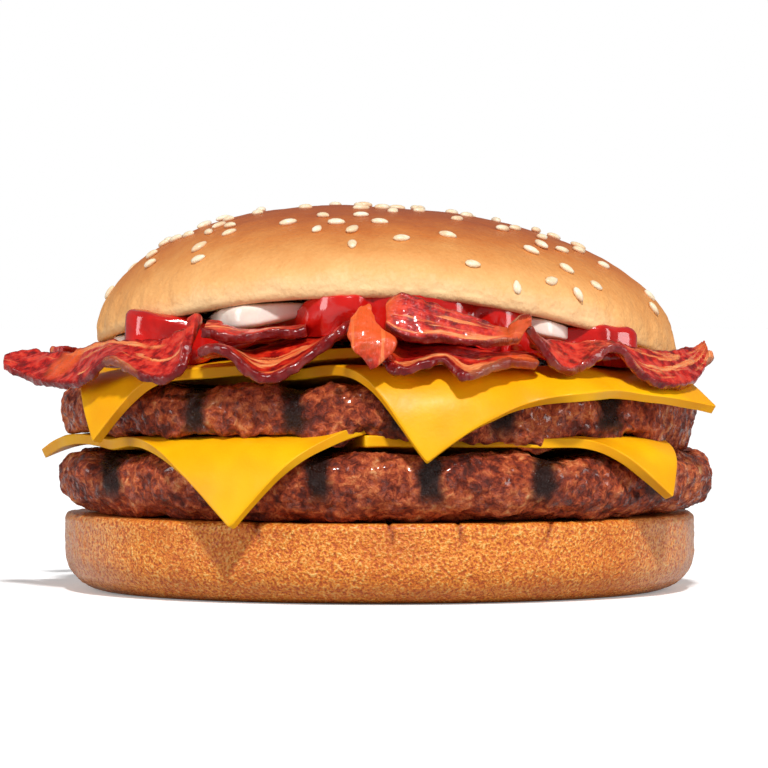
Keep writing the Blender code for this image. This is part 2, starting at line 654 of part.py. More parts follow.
def make_ketchup(pile, collection):
    """Ketchup under the mayonnaise. Where its lobes pass the mayonnaise they rise to the bun."""
    mayo, reach = sauce_reach(*MAYO_REACH), sauce_reach(*KETCHUP_REACH)
    rises = [smoothstep(1.8 * MM, 3.8 * MM, k - m) for k, m in zip(reach, mayo)]
    rises = [min(rises[k - 1], rises[k], rises[(k + 1) % SAUCE_SIDES])
             for k in range(SAUCE_SIDES)]

    def top(x, y):
        return under_height(x, y) - 4 * GAP - MAYO_THICKNESS * sauce_share(x, y)

    def bottom(x, y, hang=0.0):
        plan = top(x, y) - KETCHUP_THICKNESS * sauce_share(x, y) - hang
        below = pile.top_near(x, y, 2.5 * MM)
        return plan if below is None else min(max(plan, below + 1.5 * GAP), top(x, y) - GAP)

    low, high = [[] for _ in range(5)], [[] for _ in range(6)]
    for k in range(SAUCE_SIDES):
        angle = TURN * k / SAUCE_SIDES
        direction = np.degrees(angle)
        inner = min(mayo[k], reach[k] - 1.7 * MM) + 0.3 * MM
        hang = lobes(direction, KETCHUP_HANG)
        for ring, radius in zip(low, (0.3 * inner, 0.6 * inner, 0.85 * inner,
                                      reach[k] - 1.2 * MM)):
            droop = hang if ring is low[3] else 0
            ring.append(sauce_point(angle, radius, lambda x, y, d=droop: bottom(x, y, d)))
        raised = rises[k]

        def outer(x, y, lift=raised):
            ceiling = under_height(x, y) - 1.2 * GAP
            return top(x, y) * (1 - lift) + ceiling * lift

        edge = sauce_point(angle, reach[k], outer)
        edge.z = (edge.z + low[3][-1].z) / 2
        low[4].append(edge)
        high[0].append(sauce_point(angle, max(inner + 0.9 * MM, reach[k] - 1.3 * MM), outer))
        high[1].append(sauce_point(angle, inner + 0.5 * MM, outer))
        for ring, radius in zip(high[2:], (inner, 0.85 * inner, 0.6 * inner, 0.3 * inner)):
            ring.append(sauce_point(angle, radius, top))
    centre = (CROWN_CENTRE_X, 0)
    rings = low + high
    foot = Vector((*centre, bottom(*centre)))
    made = lofted("ketchup", rings, foot, Vector((*centre, top(*centre))), "ketchup", collection)
    pile.add(made)
    return made


def make_mayonnaise(pile, collection):
    """Mayonnaise between the ketchup and the bun, hanging down in lobes at its edge."""
    reach = sauce_reach(*MAYO_REACH)

    def top(x, y):
        return under_height(x, y) - GAP

    def bottom(x, y, hang=0.0):
        plan = top(x, y) - MAYO_THICKNESS * sauce_share(x, y) - hang
        below = pile.top_near(x, y, 1.5 * MM) if hang else None
        return plan if below is None else min(max(plan, below + 1.5 * GAP), top(x, y) - GAP)

    low, high = [[] for _ in range(5)], [[] for _ in range(4)]
    for k in range(SAUCE_SIDES):
        angle = TURN * k / SAUCE_SIDES
        hang = lobes(np.degrees(angle), MAYO_HANG)
        for ring, radius in zip(low, (0.3 * reach[k], 0.6 * reach[k], 0.85 * reach[k],
                                      reach[k] - 1.0 * MM)):
            droop = hang if ring is low[3] else 0
            ring.append(sauce_point(angle, radius, lambda x, y, d=droop: bottom(x, y, d)))
        edge = sauce_point(angle, reach[k], top)
        edge.z = (edge.z + low[3][-1].z) / 2
        low[4].append(edge)
        for ring, radius in zip(high, (reach[k] - 0.8 * MM, 0.85 * reach[k], 0.6 * reach[k],
                                       0.3 * reach[k])):
            ring.append(sauce_point(angle, radius, top))
    centre = (CROWN_CENTRE_X, 0)
    foot = Vector((*centre, bottom(*centre)))
    made = lofted("mayonnaise", low + high, foot, Vector((*centre, top(*centre))),
                  "mayonnaise", collection)
    pile.add(made)
    return made


def crown_top(x, y):
    """The dome: from the rim's own height at each side up to one top, a little higher at -X."""
    share = crown_reach(x, y)
    if share < 1e-6:
        return CROWN_TOP
    rim_x = CROWN_CENTRE_X + (x - CROWN_CENTRE_X) / share
    rim = under_height(rim_x, y / share) + RIM_HEIGHT
    rise = sqrt(max(1 - min(share, 1) ** DOME_POWER, 0))
    lean = DOME_LEAN * (x - CROWN_CENTRE_X) * (1 - min(share, 1) ** 2)
    return rim + (CROWN_TOP - rim) * rise + lean


def crown_ring(share, height, radius=CROWN_RADIUS):
    ring = []
    for k in range(CROWN_SIDES):
        angle = TURN * k / CROWN_SIDES
        x = CROWN_CENTRE_X + share * radius * cos(angle)
        y = share * radius * sin(angle)
        ring.append(Vector((x, y, height(x, y))))
    return ring


def seed_places():
    """Where the seeds lie: as seen in front, and behind drawn apart, thinning out to the rim."""
    rng = np.random.default_rng(SEED_DRAW)
    places = [(x * MM, y * MM, radians(spin)) for x, y, spin in SHOWN_SEEDS]
    while len(places) < SEED_COUNT:
        share = SEED_SPREAD * sqrt(rng.random())
        angle = TURN * rng.random()
        x = CROWN_CENTRE_X + share * CROWN_RADIUS * cos(angle)
        y = share * CROWN_RADIUS * sin(angle)
        spin = TURN * rng.random()
        thin = rng.random() < share ** 4 * 0.6
        close = any(hypot(x - p[0], y - p[1]) < SEED_SPACING for p in places)
        if y > SEED_FREE_BEHIND and not thin and not close:
            places.append((x, y, spin))
    return places


def seed_object(number, x, y, spin, collection):
    """A flat teardrop half sunk in the crust."""
    form = bmesh.new()
    bmesh.ops.create_uvsphere(form, u_segments=6, v_segments=2, radius=1)
    for v in form.verts:
        taper = 1 - 0.38 * smoothstep(-0.2, 1, v.co.x)
        v.co = Vector((v.co.x * SEED_LENGTH / 2, v.co.y * taper * SEED_WIDTH / 2,
                       v.co.z * SEED_HEIGHT / 2))
    step = 0.5 * MM
    normal = Vector((crown_top(x - step, y) - crown_top(x + step, y),
                     crown_top(x, y - step) - crown_top(x, y + step), 2 * step)).normalized()
    turn = normal.to_track_quat("Z", "Y").to_matrix().to_4x4() @ Matrix.Rotation(spin, 4, "Z")
    place = Vector((x, y, crown_top(x, y))) + normal * SEED_HEIGHT * 0.18
    form.transform(Matrix.Translation(place) @ turn)
    mesh = bpy.data.meshes.new(f"seed_{number}")
    form.to_mesh(mesh)
    form.free()
    seed = bpy.data.objects.new(f"seed_{number}", mesh)
    collection.objects.link(seed)


def make_crown(pile, collection):
    """The top bun with its sesame seeds fused on."""
    def under(x, y):
        below = pile.top_near(x, y, 1.5 * MM) or 0
        return max(under_height(x, y), below + GAP)

    rings = [crown_ring(s, under) for s in (0.3, 0.6, 0.82)]
    rings.append(crown_ring(1, under, CROWN_RADIUS - 1.0 * MM))
    rings.append(crown_ring(1, lambda x, y: under_height(x, y) + RIM_HEIGHT))
    rings += [crown_ring(s, crown_top) for s in (0.985, 0.95, 0.885, 0.78, 0.63, 0.44, 0.22)]
    centre = (CROWN_CENTRE_X, 0)
    crown = lofted("bun_crown", rings, Vector((*centre, under(*centre))),
                   Vector((*centre, CROWN_TOP)), "crown_crust", collection)
    seeds = new_collection("seeds")
    for number, (x, y, spin) in enumerate(seed_places()):
        seed_object(number, x, y, spin, seeds)
    join = crown.modifiers.new("seeds", "BOOLEAN")
    join.operation = "UNION"
    join.operand_type = "COLLECTION"
    join.collection = seeds
    join.solver = "MANIFOLD"
    bpy.context.view_layer.update()
    whole = bpy.data.meshes.new_from_object(
        crown.evaluated_get(bpy.context.evaluated_depsgraph_get()))
    crown.modifiers.clear()
    crown.data = whole
    for seed in list(seeds.objects):
        bpy.data.objects.remove(seed)
    bpy.data.collections.remove(seeds)
    return crown


def main():
    clear_scene()
    parts = new_collection("double_cheeseburger")
    pile = Pile()
    pile.add(make_heel(parts))
    pile.add(make_patty("patty_lower", LOWER_PATTY, Pile(), parts))
    for name in ("cheese_lower_right", "cheese_lower_left"):
        draped_slice(name, *SLICES[name], LOWER_PATTY, LOWER_DROOPS, pile, parts)
    pile.add(make_patty("patty_upper", UPPER_PATTY, pile, parts))
    for name in ("cheese_upper_right", "cheese_upper_left"):
        draped_slice(name, *SLICES[name], UPPER_PATTY, UPPER_DROOPS, pile, parts)
    for name, (near, far) in STRIPS.items():
        bacon_strip(name, near, far, STRIP_CELLS.get(name, SHOWN_CELLS), pile, parts)
    make_ketchup(pile, parts)
    make_mayonnaise(pile, parts)
    make_crown(pile, parts)


main()
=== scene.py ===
from math import cos, hypot, pi, radians, sin, sqrt

import bmesh
import bpy
import numpy as np
from mathutils import Matrix, Vector, noise
from mathutils.bvhtree import BVHTree
from mathutils.kdtree import KDTree


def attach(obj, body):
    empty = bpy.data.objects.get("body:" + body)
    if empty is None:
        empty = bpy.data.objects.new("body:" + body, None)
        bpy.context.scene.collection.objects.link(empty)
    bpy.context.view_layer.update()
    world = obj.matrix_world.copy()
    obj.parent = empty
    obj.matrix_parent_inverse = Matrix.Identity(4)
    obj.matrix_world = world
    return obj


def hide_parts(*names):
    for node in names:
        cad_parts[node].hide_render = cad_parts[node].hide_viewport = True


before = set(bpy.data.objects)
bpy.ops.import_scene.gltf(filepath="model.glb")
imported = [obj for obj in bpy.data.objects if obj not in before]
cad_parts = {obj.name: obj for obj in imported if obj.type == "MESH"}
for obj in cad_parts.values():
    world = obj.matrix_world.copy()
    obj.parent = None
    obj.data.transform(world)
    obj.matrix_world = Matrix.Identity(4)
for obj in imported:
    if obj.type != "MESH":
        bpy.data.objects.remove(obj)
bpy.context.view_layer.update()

mm = 0.001
turn = 2 * pi
scene = bpy.context.scene


# small helpers: shader maths, meshes, noise

class Link:
    # one output socket: arithmetic on it adds Math nodes
    def __init__(self, graph, socket):
        self.graph, self.socket = graph, socket

    def math(self, operation, *others):
        return self.graph.node("ShaderNodeMath", {"operation": operation},
                               dict(enumerate((self, *others))))

    def flipped(self, operation, other):
        return self.graph.node("ShaderNodeMath", {"operation": operation}, {0: other, 1: self})

    def __add__(self, other): return self.math("ADD", other)
    def __radd__(self, other): return self.math("ADD", other)
    def __sub__(self, other): return self.math("SUBTRACT", other)
    def __rsub__(self, other): return self.flipped("SUBTRACT", other)
    def __mul__(self, other): return self.math("MULTIPLY", other)
    def __rmul__(self, other): return self.math("MULTIPLY", other)

    def between(self, low, high):
        # 0 below low, 1 above high, smooth in between
        return self.graph.node("ShaderNodeMapRange", {"interpolation_type": "SMOOTHSTEP"},
                               {"Value": self, "From Min": low, "From Max": high})


class Finish:
    # a material and the graph behind its Principled shader
    def __init__(self, name, **constants):
        self.material = bpy.data.materials.new(name)
        self.material.use_nodes = True
        self.tree = self.material.node_tree
        self.shader = self.tree.nodes["Principled BSDF"]
        for socket, value in constants.items():
            self.shader.inputs[socket.replace("_", " ")].default_value = value
        self.objectPoint = self.node("ShaderNodeTexCoord", {}, {}, "Object")

    def node(self, kind, settings, sockets, output=0):
        made = self.tree.nodes.new(kind)
        for key, value in settings.items():
            if key == "stops":
                ramp = made.color_ramp.elements
                while len(ramp) < len(value):
                    ramp.new(0.5)
                for stop, (place, colour) in zip(ramp, value):
                    stop.position, stop.color = place, (*colour, 1)
            else:
                setattr(made, key, value)
        for key, value in sockets.items():
            if isinstance(value, Link):
                self.tree.links.new(value.socket, made.inputs[key])
            elif isinstance(value, tuple) and len(value) == 3 and made.inputs[key].type == "RGBA":
                made.inputs[key].default_value = (*value, 1)
            else:
                made.inputs[key].default_value = value
        return Link(self, made.outputs[output])

    def attribute(self, name):
        return self.node("ShaderNodeAttribute", {"attribute_name": name}, {}, "Fac")

    def noise(self, size, detail=3.0, roughness=0.55, distortion=0.0, where=None):
        return self.node("ShaderNodeTexNoise", {}, {
            "Vector": where or self.objectPoint, "Scale": 1.0 if where else 1000 / size,
            "Detail": detail, "Roughness": roughness, "Distortion": distortion}, "Fac")

    def cells(self, size, smooth):
        return self.node("ShaderNodeTexVoronoi", {"feature": "SMOOTH_F1"}, {
            "Vector": self.objectPoint, "Scale": 1000 / size, "Smoothness": smooth}, "Distance")

    def blend(self, factor, first, second):
        return self.node("ShaderNodeMix", {"data_type": "RGBA"},
                         {0: factor, 6: first, 7: second}, 2)

    def ramp(self, factor, stops):
        return self.node("ShaderNodeValToRGB", {"stops": stops}, {"Fac": factor})

    def bump(self, height, distance, strength):
        return self.node("ShaderNodeBump", {}, {
            "Height": height, "Distance": distance * mm, "Strength": strength})

    def wire(self, **sockets):
        for name, link in sockets.items():
            self.tree.links.new(link.socket, self.shader.inputs[name.replace("_", " ")])
        return self.material


def smoothstep(low, high, value):
    t = np.clip((value - low) / (high - low), 0, 1)
    return t * t * (3 - 2 * t)


def fractal(points, size, octaves, seed, stretch=(1, 1, 1)):
    shift = Vector((seed, 1.7 * seed, -0.6 * seed))
    places = points / (np.array(stretch) * size * mm)
    return np.fromiter((noise.fractal(Vector(p) + shift, 0.9, 2.1, octaves) for p in places),
                       float, len(points))


def lumps(points, size, seed):
    # 1 in the middle of each crumb, 0 in the furrows between them
    shift = Vector((seed, 1.7 * seed, -0.6 * seed))
    return 1 - np.fromiter((noise.voronoi(Vector(p) + shift)[0][0] for p in points / (size * mm)),
                           float, len(points))


def bearings(points):
    # each point's direction round the stack, in degrees
    return np.degrees(np.arctan2(points[:, 1], points[:, 0]))


def nearness(directions, way, width, flat):
    # 1 along the flat share of a half-width to either side of a direction, 0 past all of it
    away = np.abs((directions - way + 180) % 360 - 180)
    return 1 - smoothstep(flat * width, width, away)


def pointsOf(mesh):
    flat = np.empty(len(mesh.vertices) * 3)
    mesh.vertices.foreach_get("co", flat)
    return flat.reshape(-1, 3)


def normalsOf(mesh):
    flat = np.empty(len(mesh.vertices) * 3)
    mesh.vertex_normals.foreach_get("vector", flat)
    return flat.reshape(-1, 3)


def setPoints(mesh, points):
    mesh.vertices.foreach_set("co", points.ravel())
    mesh.update()


def setValues(mesh, name, values):
    layer = mesh.attributes.new(name, "FLOAT", "POINT")
    layer.data.foreach_set("value", np.asarray(values, np.float32))


def newPiece(name, mesh):
    piece = bpy.data.objects.new(name, mesh)
    scene.collection.objects.link(piece)
    return piece


def baked(piece):
    # the evaluated mesh takes the place of the modifiers
    bpy.context.view_layer.update()
    final = bpy.data.meshes.new_from_object(
        piece.evaluated_get(bpy.context.evaluated_depsgraph_get()))
    piece.modifiers.clear()
    piece.data = final
    return piece


def refined(name, node, levels, crease=0.0):
    # the solid's mesh, merged and joined into four-sided faces, then smoothed but for sharp edges
    sharp = radians(50)
    form = bmesh.new()
    form.from_mesh(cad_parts[node].data)
    bmesh.ops.remove_doubles(form, verts=form.verts, dist=0.02 * mm)
    bmesh.ops.join_triangles(form, faces=form.faces, angle_face_threshold=pi,
                             angle_shape_threshold=pi)
    if crease:
        layer = form.edges.layers.float.new("crease_edge")
        for edge in form.edges:
            if len(edge.link_faces) == 2 and edge.calc_face_angle(0) > sharp:
                edge[layer] = crease
    mesh = bpy.data.meshes.new(name)
    form.to_mesh(mesh)
    form.free()
    piece = newPiece(name, mesh)
    smoother = piece.modifiers.new("refine", "SUBSURF")
    smoother.levels = smoother.render_levels = levels
    return baked(piece)


def ringBody(name, rings, low, high):
    # a closed body through rings of points, from its lowest middle to its highest
    sides = len(rings[0])
    points = [low] + [p for ring in rings for p in ring] + [high]
    last = len(points) - 1
    faces = []
    for k in range(sides):
        n = (k + 1) % sides
        faces.append((0, 1 + n, 1 + k))
        faces += [(1 + r * sides + k, 1 + r * sides + n, 1 + (r + 1) * sides + n,
                   1 + (r + 1) * sides + k) for r in range(len(rings) - 1)]
        faces.append((last - sides + k, last - sides + n, last))
    mesh = bpy.data.meshes.new(name)
    mesh.from_pydata(points, [], faces)
    return newPiece(name, mesh)


def treeOf(*nodes):
    form = bmesh.new()
    for node in nodes:
        form.from_mesh(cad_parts[node].data)
    tree = BVHTree.FromBMesh(form)
    form.free()
    return tree


def keptOut(start, moved, tree):
    # a point that its displacement took into or close to a neighbour goes back to where it was
    searched, clear = 2 * mm, 0.1 * mm
    for i, place in enumerate(moved):
        at, normal, _, _ = tree.find_nearest(Vector(place), searched)
        if at is not None and (Vector(place) - at).dot(normal) < clear:
            moved[i] = start[i]
    return moved


def lowered(mesh, points, normals, tree, reach, inside):
    # an underside comes down onto what lies below it, where that is within reach, but not at its rim
    fade, gap = 4, 0.04 * mm
    outward = np.hypot(points[:, 0], points[:, 1]) / mm
    share = smoothstep(0.25, 0.75, -normals[:, 2])
    share *= 1 - smoothstep(inside - fade, inside, outward)
    drop = np.zeros(len(points))
    for i in np.nonzero(share > 0)[0]:
        at = tree.ray_cast(Vector(points[i]), Vector((0, 0, -1)), reach * mm)[0]
        if at is not None:
            drop[i] = share[i] * max(points[i, 2] - at.z - gap, 0)
    points = points.copy()
    points[:, 2] -= evened(mesh, drop)
    return points


def evened(mesh, values):
    # takes single high values down to what lies round them
    rounds = 10
    ends = np.empty(len(mesh.edges) * 2, np.int64)
    mesh.edges.foreach_get("vertices", ends)
    ends = ends.reshape(-1, 2)
    both = np.concatenate([ends, ends[:, ::-1]])
    count = np.maximum(np.bincount(both[:, 0], minlength=len(values)), 1)
    for _ in range(rounds):
        around = np.bincount(both[:, 0], values[both[:, 1]], len(values)) / count
        values = np.minimum(values, around)
    return values


def finished(piece, material, slot, *nodes):
    piece.data.materials.clear()
    piece.data.materials.append(material)
    piece.data.shade_smooth()
    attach(piece, "root")
    if nodes:
        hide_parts(*nodes)
    return piece


# camera

view = {"stands": (0.8 * mm, -999.9 * mm, 55.4 * mm), "looksAt": (0.8 * mm, 0, 39.3 * mm),
        "lens": 243.75, "sensor": 36}


def makeCamera():
    camera = bpy.data.cameras.new("camera")
    camera.lens, camera.sensor_width = view["lens"], view["sensor"]
    holder = newPiece("camera", camera)
    holder.location = view["stands"]
    aim = Vector(view["looksAt"]) - holder.location
    holder.rotation_euler = aim.to_track_quat("-Z", "Y").to_euler()
    scene.camera = holder
    scene.view_settings.view_transform = "Standard"


# bottom bun

heel = {"radius": 60.3, "height": 14.9, "baseRadius": 52.0, "cornerHeight": 7.5, "edge": 1.3,
        "sides": 640, "pebble": 1.5, "pebbleDepth": 0.16, "swell": 17, "swellDepth": 0.25,
        "cracks": (-22, 2, 14.5, 31), "crackWidth": 0.35, "crackDepth": 0.6}


def heelProfile():
    # (radius, height) from the middle of the base, round the side, to the cut face
    wide, base, corner = heel["radius"], heel["baseRadius"], heel["cornerHeight"]
    tall, edge = heel["height"], heel["edge"]
    line = [(base * k / 4, 0) for k in range(1, 5)]
    line += [(base + (wide - base) * sin(a), corner * (1 - cos(a)))
             for a in np.linspace(0.06, pi / 2, 18)]
    line += [(wide, z) for z in np.linspace(corner, tall - edge, 14)[1:]]
    line += [(wide - edge * (1 - cos(a)), tall - edge * (1 - sin(a)))
             for a in np.linspace(0.2, pi / 2, 6)]
    line += [(wide - edge - d, tall) for d in (1, 2.5, 5, 10, 20, 35)]
    return line


def heelFinish():
    crust = Finish("bottomCrust", Specular_IOR_Level=0.45, Coat_Roughness=0.22)
    grain = crust.noise(0.9, 3.0, 0.6)
    flecks = crust.noise(0.5, 2.0, 0.5)
    patches = crust.noise(13, 3.0)
    height = grain * 0.6 + flecks
    # painted light and shade: the crust's colour follows its bump height, with painted shade in the pits
    # and painted highlight flecks on the tops
    light = height.between(0.58, 1.06)
    golden = crust.ramp(light, [(0.0, (0.50, 0.085, 0.006)), (0.35, (0.77, 0.20, 0.014)),
                                (0.7, (0.88, 0.31, 0.030)), (1.0, (0.96, 0.52, 0.14))])
    tanned = crust.blend(patches.between(0.42, 0.66) * 0.4, golden, (0.56, 0.115, 0.012))
    sideways = crust.node("ShaderNodeSeparateXYZ", {}, {0: crust.objectPoint})
    ends = sideways.math("ABSOLUTE").between(42 * mm, 54 * mm)
    # painted highlight: the crust is painted paler towards its left and right ends, where the side lamps
    # shine on it
    paintedEndHighlight = crust.blend(ends * light * 0.4, tanned, (0.92, 0.50, 0.22))
    # painted shade: the cracks in the crust's top edge are painted dark brown, on top of their real inward
    # dent
    split = crust.blend(crust.attribute("crack"), paintedEndHighlight, (0.26, 0.030, 0.005))
    return crust.wire(Base_Color=split, Roughness=0.52 - light * 0.20 - ends * 0.08,
                      Coat_Weight=ends * 0.55 + 0.1, Normal=crust.bump(height, 0.55, 1.0))


def makeHeel():
    rings = []
    for radius, z in heelProfile():
        rings.append([(radius * mm * cos(turn * k / heel["sides"]),
                       radius * mm * sin(turn * k / heel["sides"]), z * mm)
                      for k in range(heel["sides"])])
    piece = ringBody("bottomBun", rings, (0, 0, 0), (0, 0, heel["height"] * mm))
    points, normals = pointsOf(piece.data), normalsOf(piece.data)
    side = smoothstep(44 * mm, 54 * mm, np.hypot(points[:, 0], points[:, 1]))
    side *= smoothstep(-0.1 * mm, 1.2 * mm, points[:, 2])
    offset = heel["pebbleDepth"] * fractal(points, heel["pebble"], 3, 4.0)
    offset += heel["swellDepth"] * fractal(points, heel["swell"], 2, 9.0)
    across, high = points[:, 0] / mm, points[:, 2] / mm
    crack = sum(np.exp(-((across - x - 0.35 * np.sin(high + x)) / heel["crackWidth"]) ** 2)
                for x in heel["cracks"])
    crack *= smoothstep(heel["height"] - 5.5, heel["height"] - 1.5, high) * (points[:, 1] < 0)
    points = points + normals * ((offset * side - heel["crackDepth"] * crack) * mm)[:, None]
    points[:, 2] = np.clip(points[:, 2], 0, heel["height"] * mm)
    setPoints(piece.data, points)
    setValues(piece.data, "crack", np.clip(crack, 0, 1))
    finished(piece, heelFinish(), "heel_crust", "bun_heel")


# beef patties

# bars and pitch: one grill mark's x and the space between marks; reach and inside: how far down and
# how far out the underside is lowered; hang: (direction, half-width in degrees, drop) of the rim over
# the slice below; corner: where that slice's hidden corner lies
beef = {"pattyLower": {"node": "patty_lower", "x": 1.5, "top": 28.0, "base": 15.2, "bars": -48.5,
                       "pitch": 20.5, "seed": 3.0, "reach": 2.0, "inside": 58, "hang": (),
                       "corner": None},
        "pattyUpper": {"node": "patty_upper", "x": -0.2, "top": 40.8, "base": 27.4, "bars": -50.0,
                       "pitch": 19.0, "seed": 11.0, "reach": 4.5, "inside": 64,
                       "hang": ((-79, 28, 3.4), (-36, 16, 2.6)), "corner": (45, -31)}}
beefFilled = {"full": 5, "none": 10, "depth": 31.0, "below": (34.5, 38)}


def beefFinish():
    meat = Finish("grilledBeef", Coat_Roughness=0.12, Specular_IOR_Level=0.3)
    crumbs = meat.cells(2.3, 0.4)
    grain = meat.noise(1.3, 6.0, 0.68, 0.5)
    fine = meat.noise(0.45, 3.0, 0.6)
    patches = meat.noise(8, 3.0, 0.6, 0.6)
    charred = meat.attribute("char")
    # painted shade: the tone is darker in the furrows between the crumbs, where the bump is low
    tone = grain + (patches - 0.5) * 0.7 - crumbs * 0.18 + 0.06
    brown = meat.ramp(tone.between(0.24, 0.78), [
        (0.0, (0.080, 0.008, 0.003)), (0.28, (0.30, 0.038, 0.011)), (0.58, (0.56, 0.105, 0.030)),
        (0.85, (0.78, 0.24, 0.080)), (1.0, (0.90, 0.46, 0.20))])
    # painted sheen: low patches of purple-grey are painted over the brown
    paintedSheen = meat.blend(meat.noise(12, 2.0).between(0.55, 0.75) * 0.3, brown, (0.32, 0.080, 0.060))
    colour = meat.blend(charred, paintedSheen, (0.020, 0.004, 0.002))
    height = grain + fine * 0.25 - crumbs * 0.7
    wet = meat.noise(1.5, 4.0, 0.6).between(0.50, 0.62)
    return meat.wire(Base_Color=colour, Roughness=0.55 - wet * 0.28 - charred * 0.20,
                     Coat_Weight=wet * (1 - charred) * 0.85, Normal=meat.bump(height, 1.0, 1.0))


def hangRim(points, size, outward):
    direction, high = bearings(points), points[:, 2] / mm - size["base"]
    for way, width, deep in size["hang"]:
        low = 1 - smoothstep(7, 11, high)
        points[:, 2] -= (deep * mm * nearness(direction, way, width, 0.6) * low
                         * smoothstep(56.5 * mm, 59 * mm, outward))


def crumble(points, seed):
    # how far the crust stands out, in millimetres: coarse lumps, crumbs and grit
    offset = 0.85 * fractal(points, 9.5, 3, seed) + 0.55 * (lumps(points, 4.2, seed) - 0.55)
    return offset + 0.5 * fractal(points, 2.1, 3, seed + 5) + 0.45 * (lumps(points, 1.7, seed) - 0.5)


def grillMarks(points, size):
    across = (points[:, 0] / mm - size["bars"] - 0.06 * points[:, 1] / mm) / size["pitch"]
    off = np.abs(across - np.round(across)) * size["pitch"]
    ragged = off + 0.9 * fractal(points, 3.2, 2, size["seed"] + 2)
    upper = smoothstep(size["base"] + 1.5, size["base"] + 5.5, points[:, 2] / mm)
    return (1 - smoothstep(1.2, 3.1, ragged)) * upper


def makePatties():
    look = beefFinish()
    beneath = {"pattyLower": treeOf("bun_heel"),
               "pattyUpper": treeOf("cheese_lower_left", "cheese_lower_right", "patty_lower")}
    trees = {"pattyLower": treeOf("cheese_lower_left", "cheese_lower_right", "bun_heel"),
             "pattyUpper": treeOf("cheese_lower_left", "cheese_lower_right", "cheese_upper_left",
                                  "cheese_upper_right", "patty_lower")}
    for name, size in beef.items():
        piece = refined(name, size["node"], 3)
        points, normals = pointsOf(piece.data), normalsOf(piece.data)
        points = lowered(piece.data, points, normals, beneath[name], size["reach"], size["inside"])
        outward = np.hypot(points[:, 0] - size["x"] * mm, points[:, 1])
        hangRim(points, size, outward)
        inFill = np.zeros(len(points), bool)
        if size["corner"]:
            # the hollow over the slice's hidden corner is filled
            x, y = size["corner"]
            away = np.hypot(points[:, 0] / mm - x, points[:, 1] / mm - y)
            inFill = away < beefFilled["none"]
            filled = 1 - smoothstep(beefFilled["full"], beefFilled["none"], away)
            filled *= 1 - smoothstep(*beefFilled["below"], points[:, 2] / mm)
            points[:, 2] -= filled * np.maximum(points[:, 2] - beefFilled["depth"] * mm, 0)
        side = smoothstep(46 * mm, 57 * mm, outward)
        char = grillMarks(points, size)
        ridge = smoothstep(size["top"] - 4.2, size["top"] - 2.4, points[:, 2] / mm)
        spots = smoothstep(0.28, 0.6, fractal(points, 3.6, 3, size["seed"] + 8)) * ridge * 0.75
        offset = crumble(points, size["seed"]) * side * (1 - 0.55 * char)
        moved = points + normals * (offset * mm)[:, None]
        kept = keptOut(points, moved.copy(), trees[name])
        kept[inFill] = moved[inFill]
        setPoints(piece.data, kept)
        setValues(piece.data, "char", np.clip(char + spots, 0, 1))
        finished(piece, look, "beef", size["node"])


# cheese

cheese = {"slices": {"cheeseLowerRight": "cheese_lower_right", "cheeseLowerLeft": "cheese_lower_left",
                     "cheeseUpperRight": "cheese_upper_right", "cheeseUpperLeft": "cheese_upper_left"},
          "crease": 0.85, "ripple": 0.22,
          # a corner hidden between the patties: (x, y, radius) in millimetres, share drawn inwards
          "tucked": {"cheeseLowerLeft": (45, -31, 16, 0.35)}}


def cheeseFinish():
    wax = Finish("yellowCheese", Subsurface_Weight=0.10, Subsurface_Scale=1.2 * mm,
                 Subsurface_Radius=(1.0, 0.5, 0.05), Specular_IOR_Level=0.22)
    soft = wax.noise(14, 2.0)
    fine = wax.noise(1.2, 3.0)
    colour = wax.ramp(soft.between(0.3, 0.7), [(0.0, (0.86, 0.36, 0.001)), (0.5, (0.90, 0.42, 0.002)),
                                               (1.0, (0.93, 0.47, 0.003))])
    height = soft * 1.6 + fine * 0.16
    return wax.wire(Base_Color=colour, Roughness=0.32 + fine * 0.16,
                    Normal=wax.bump(height, 0.5, 0.5))


def makeCheese():
    look = cheeseFinish()
    for name, node in cheese["slices"].items():
        piece = refined(name, node, 4, cheese["crease"])
        points, normals = pointsOf(piece.data), normalsOf(piece.data)
        if name in cheese["tucked"]:
            x, y, size, share = cheese["tucked"][name]
            near = 1 - smoothstep(0, size, np.hypot(points[:, 0] / mm - x, points[:, 1] / mm - y))
            points[:, :2] *= (1 - share * near)[:, None]
        offset = cheese["ripple"] * fractal(points, 11, 2, 2.0)
        setPoints(piece.data, points + normals * (offset * mm)[:, None])
        finished(piece, look, "cheese", node)


# bacon

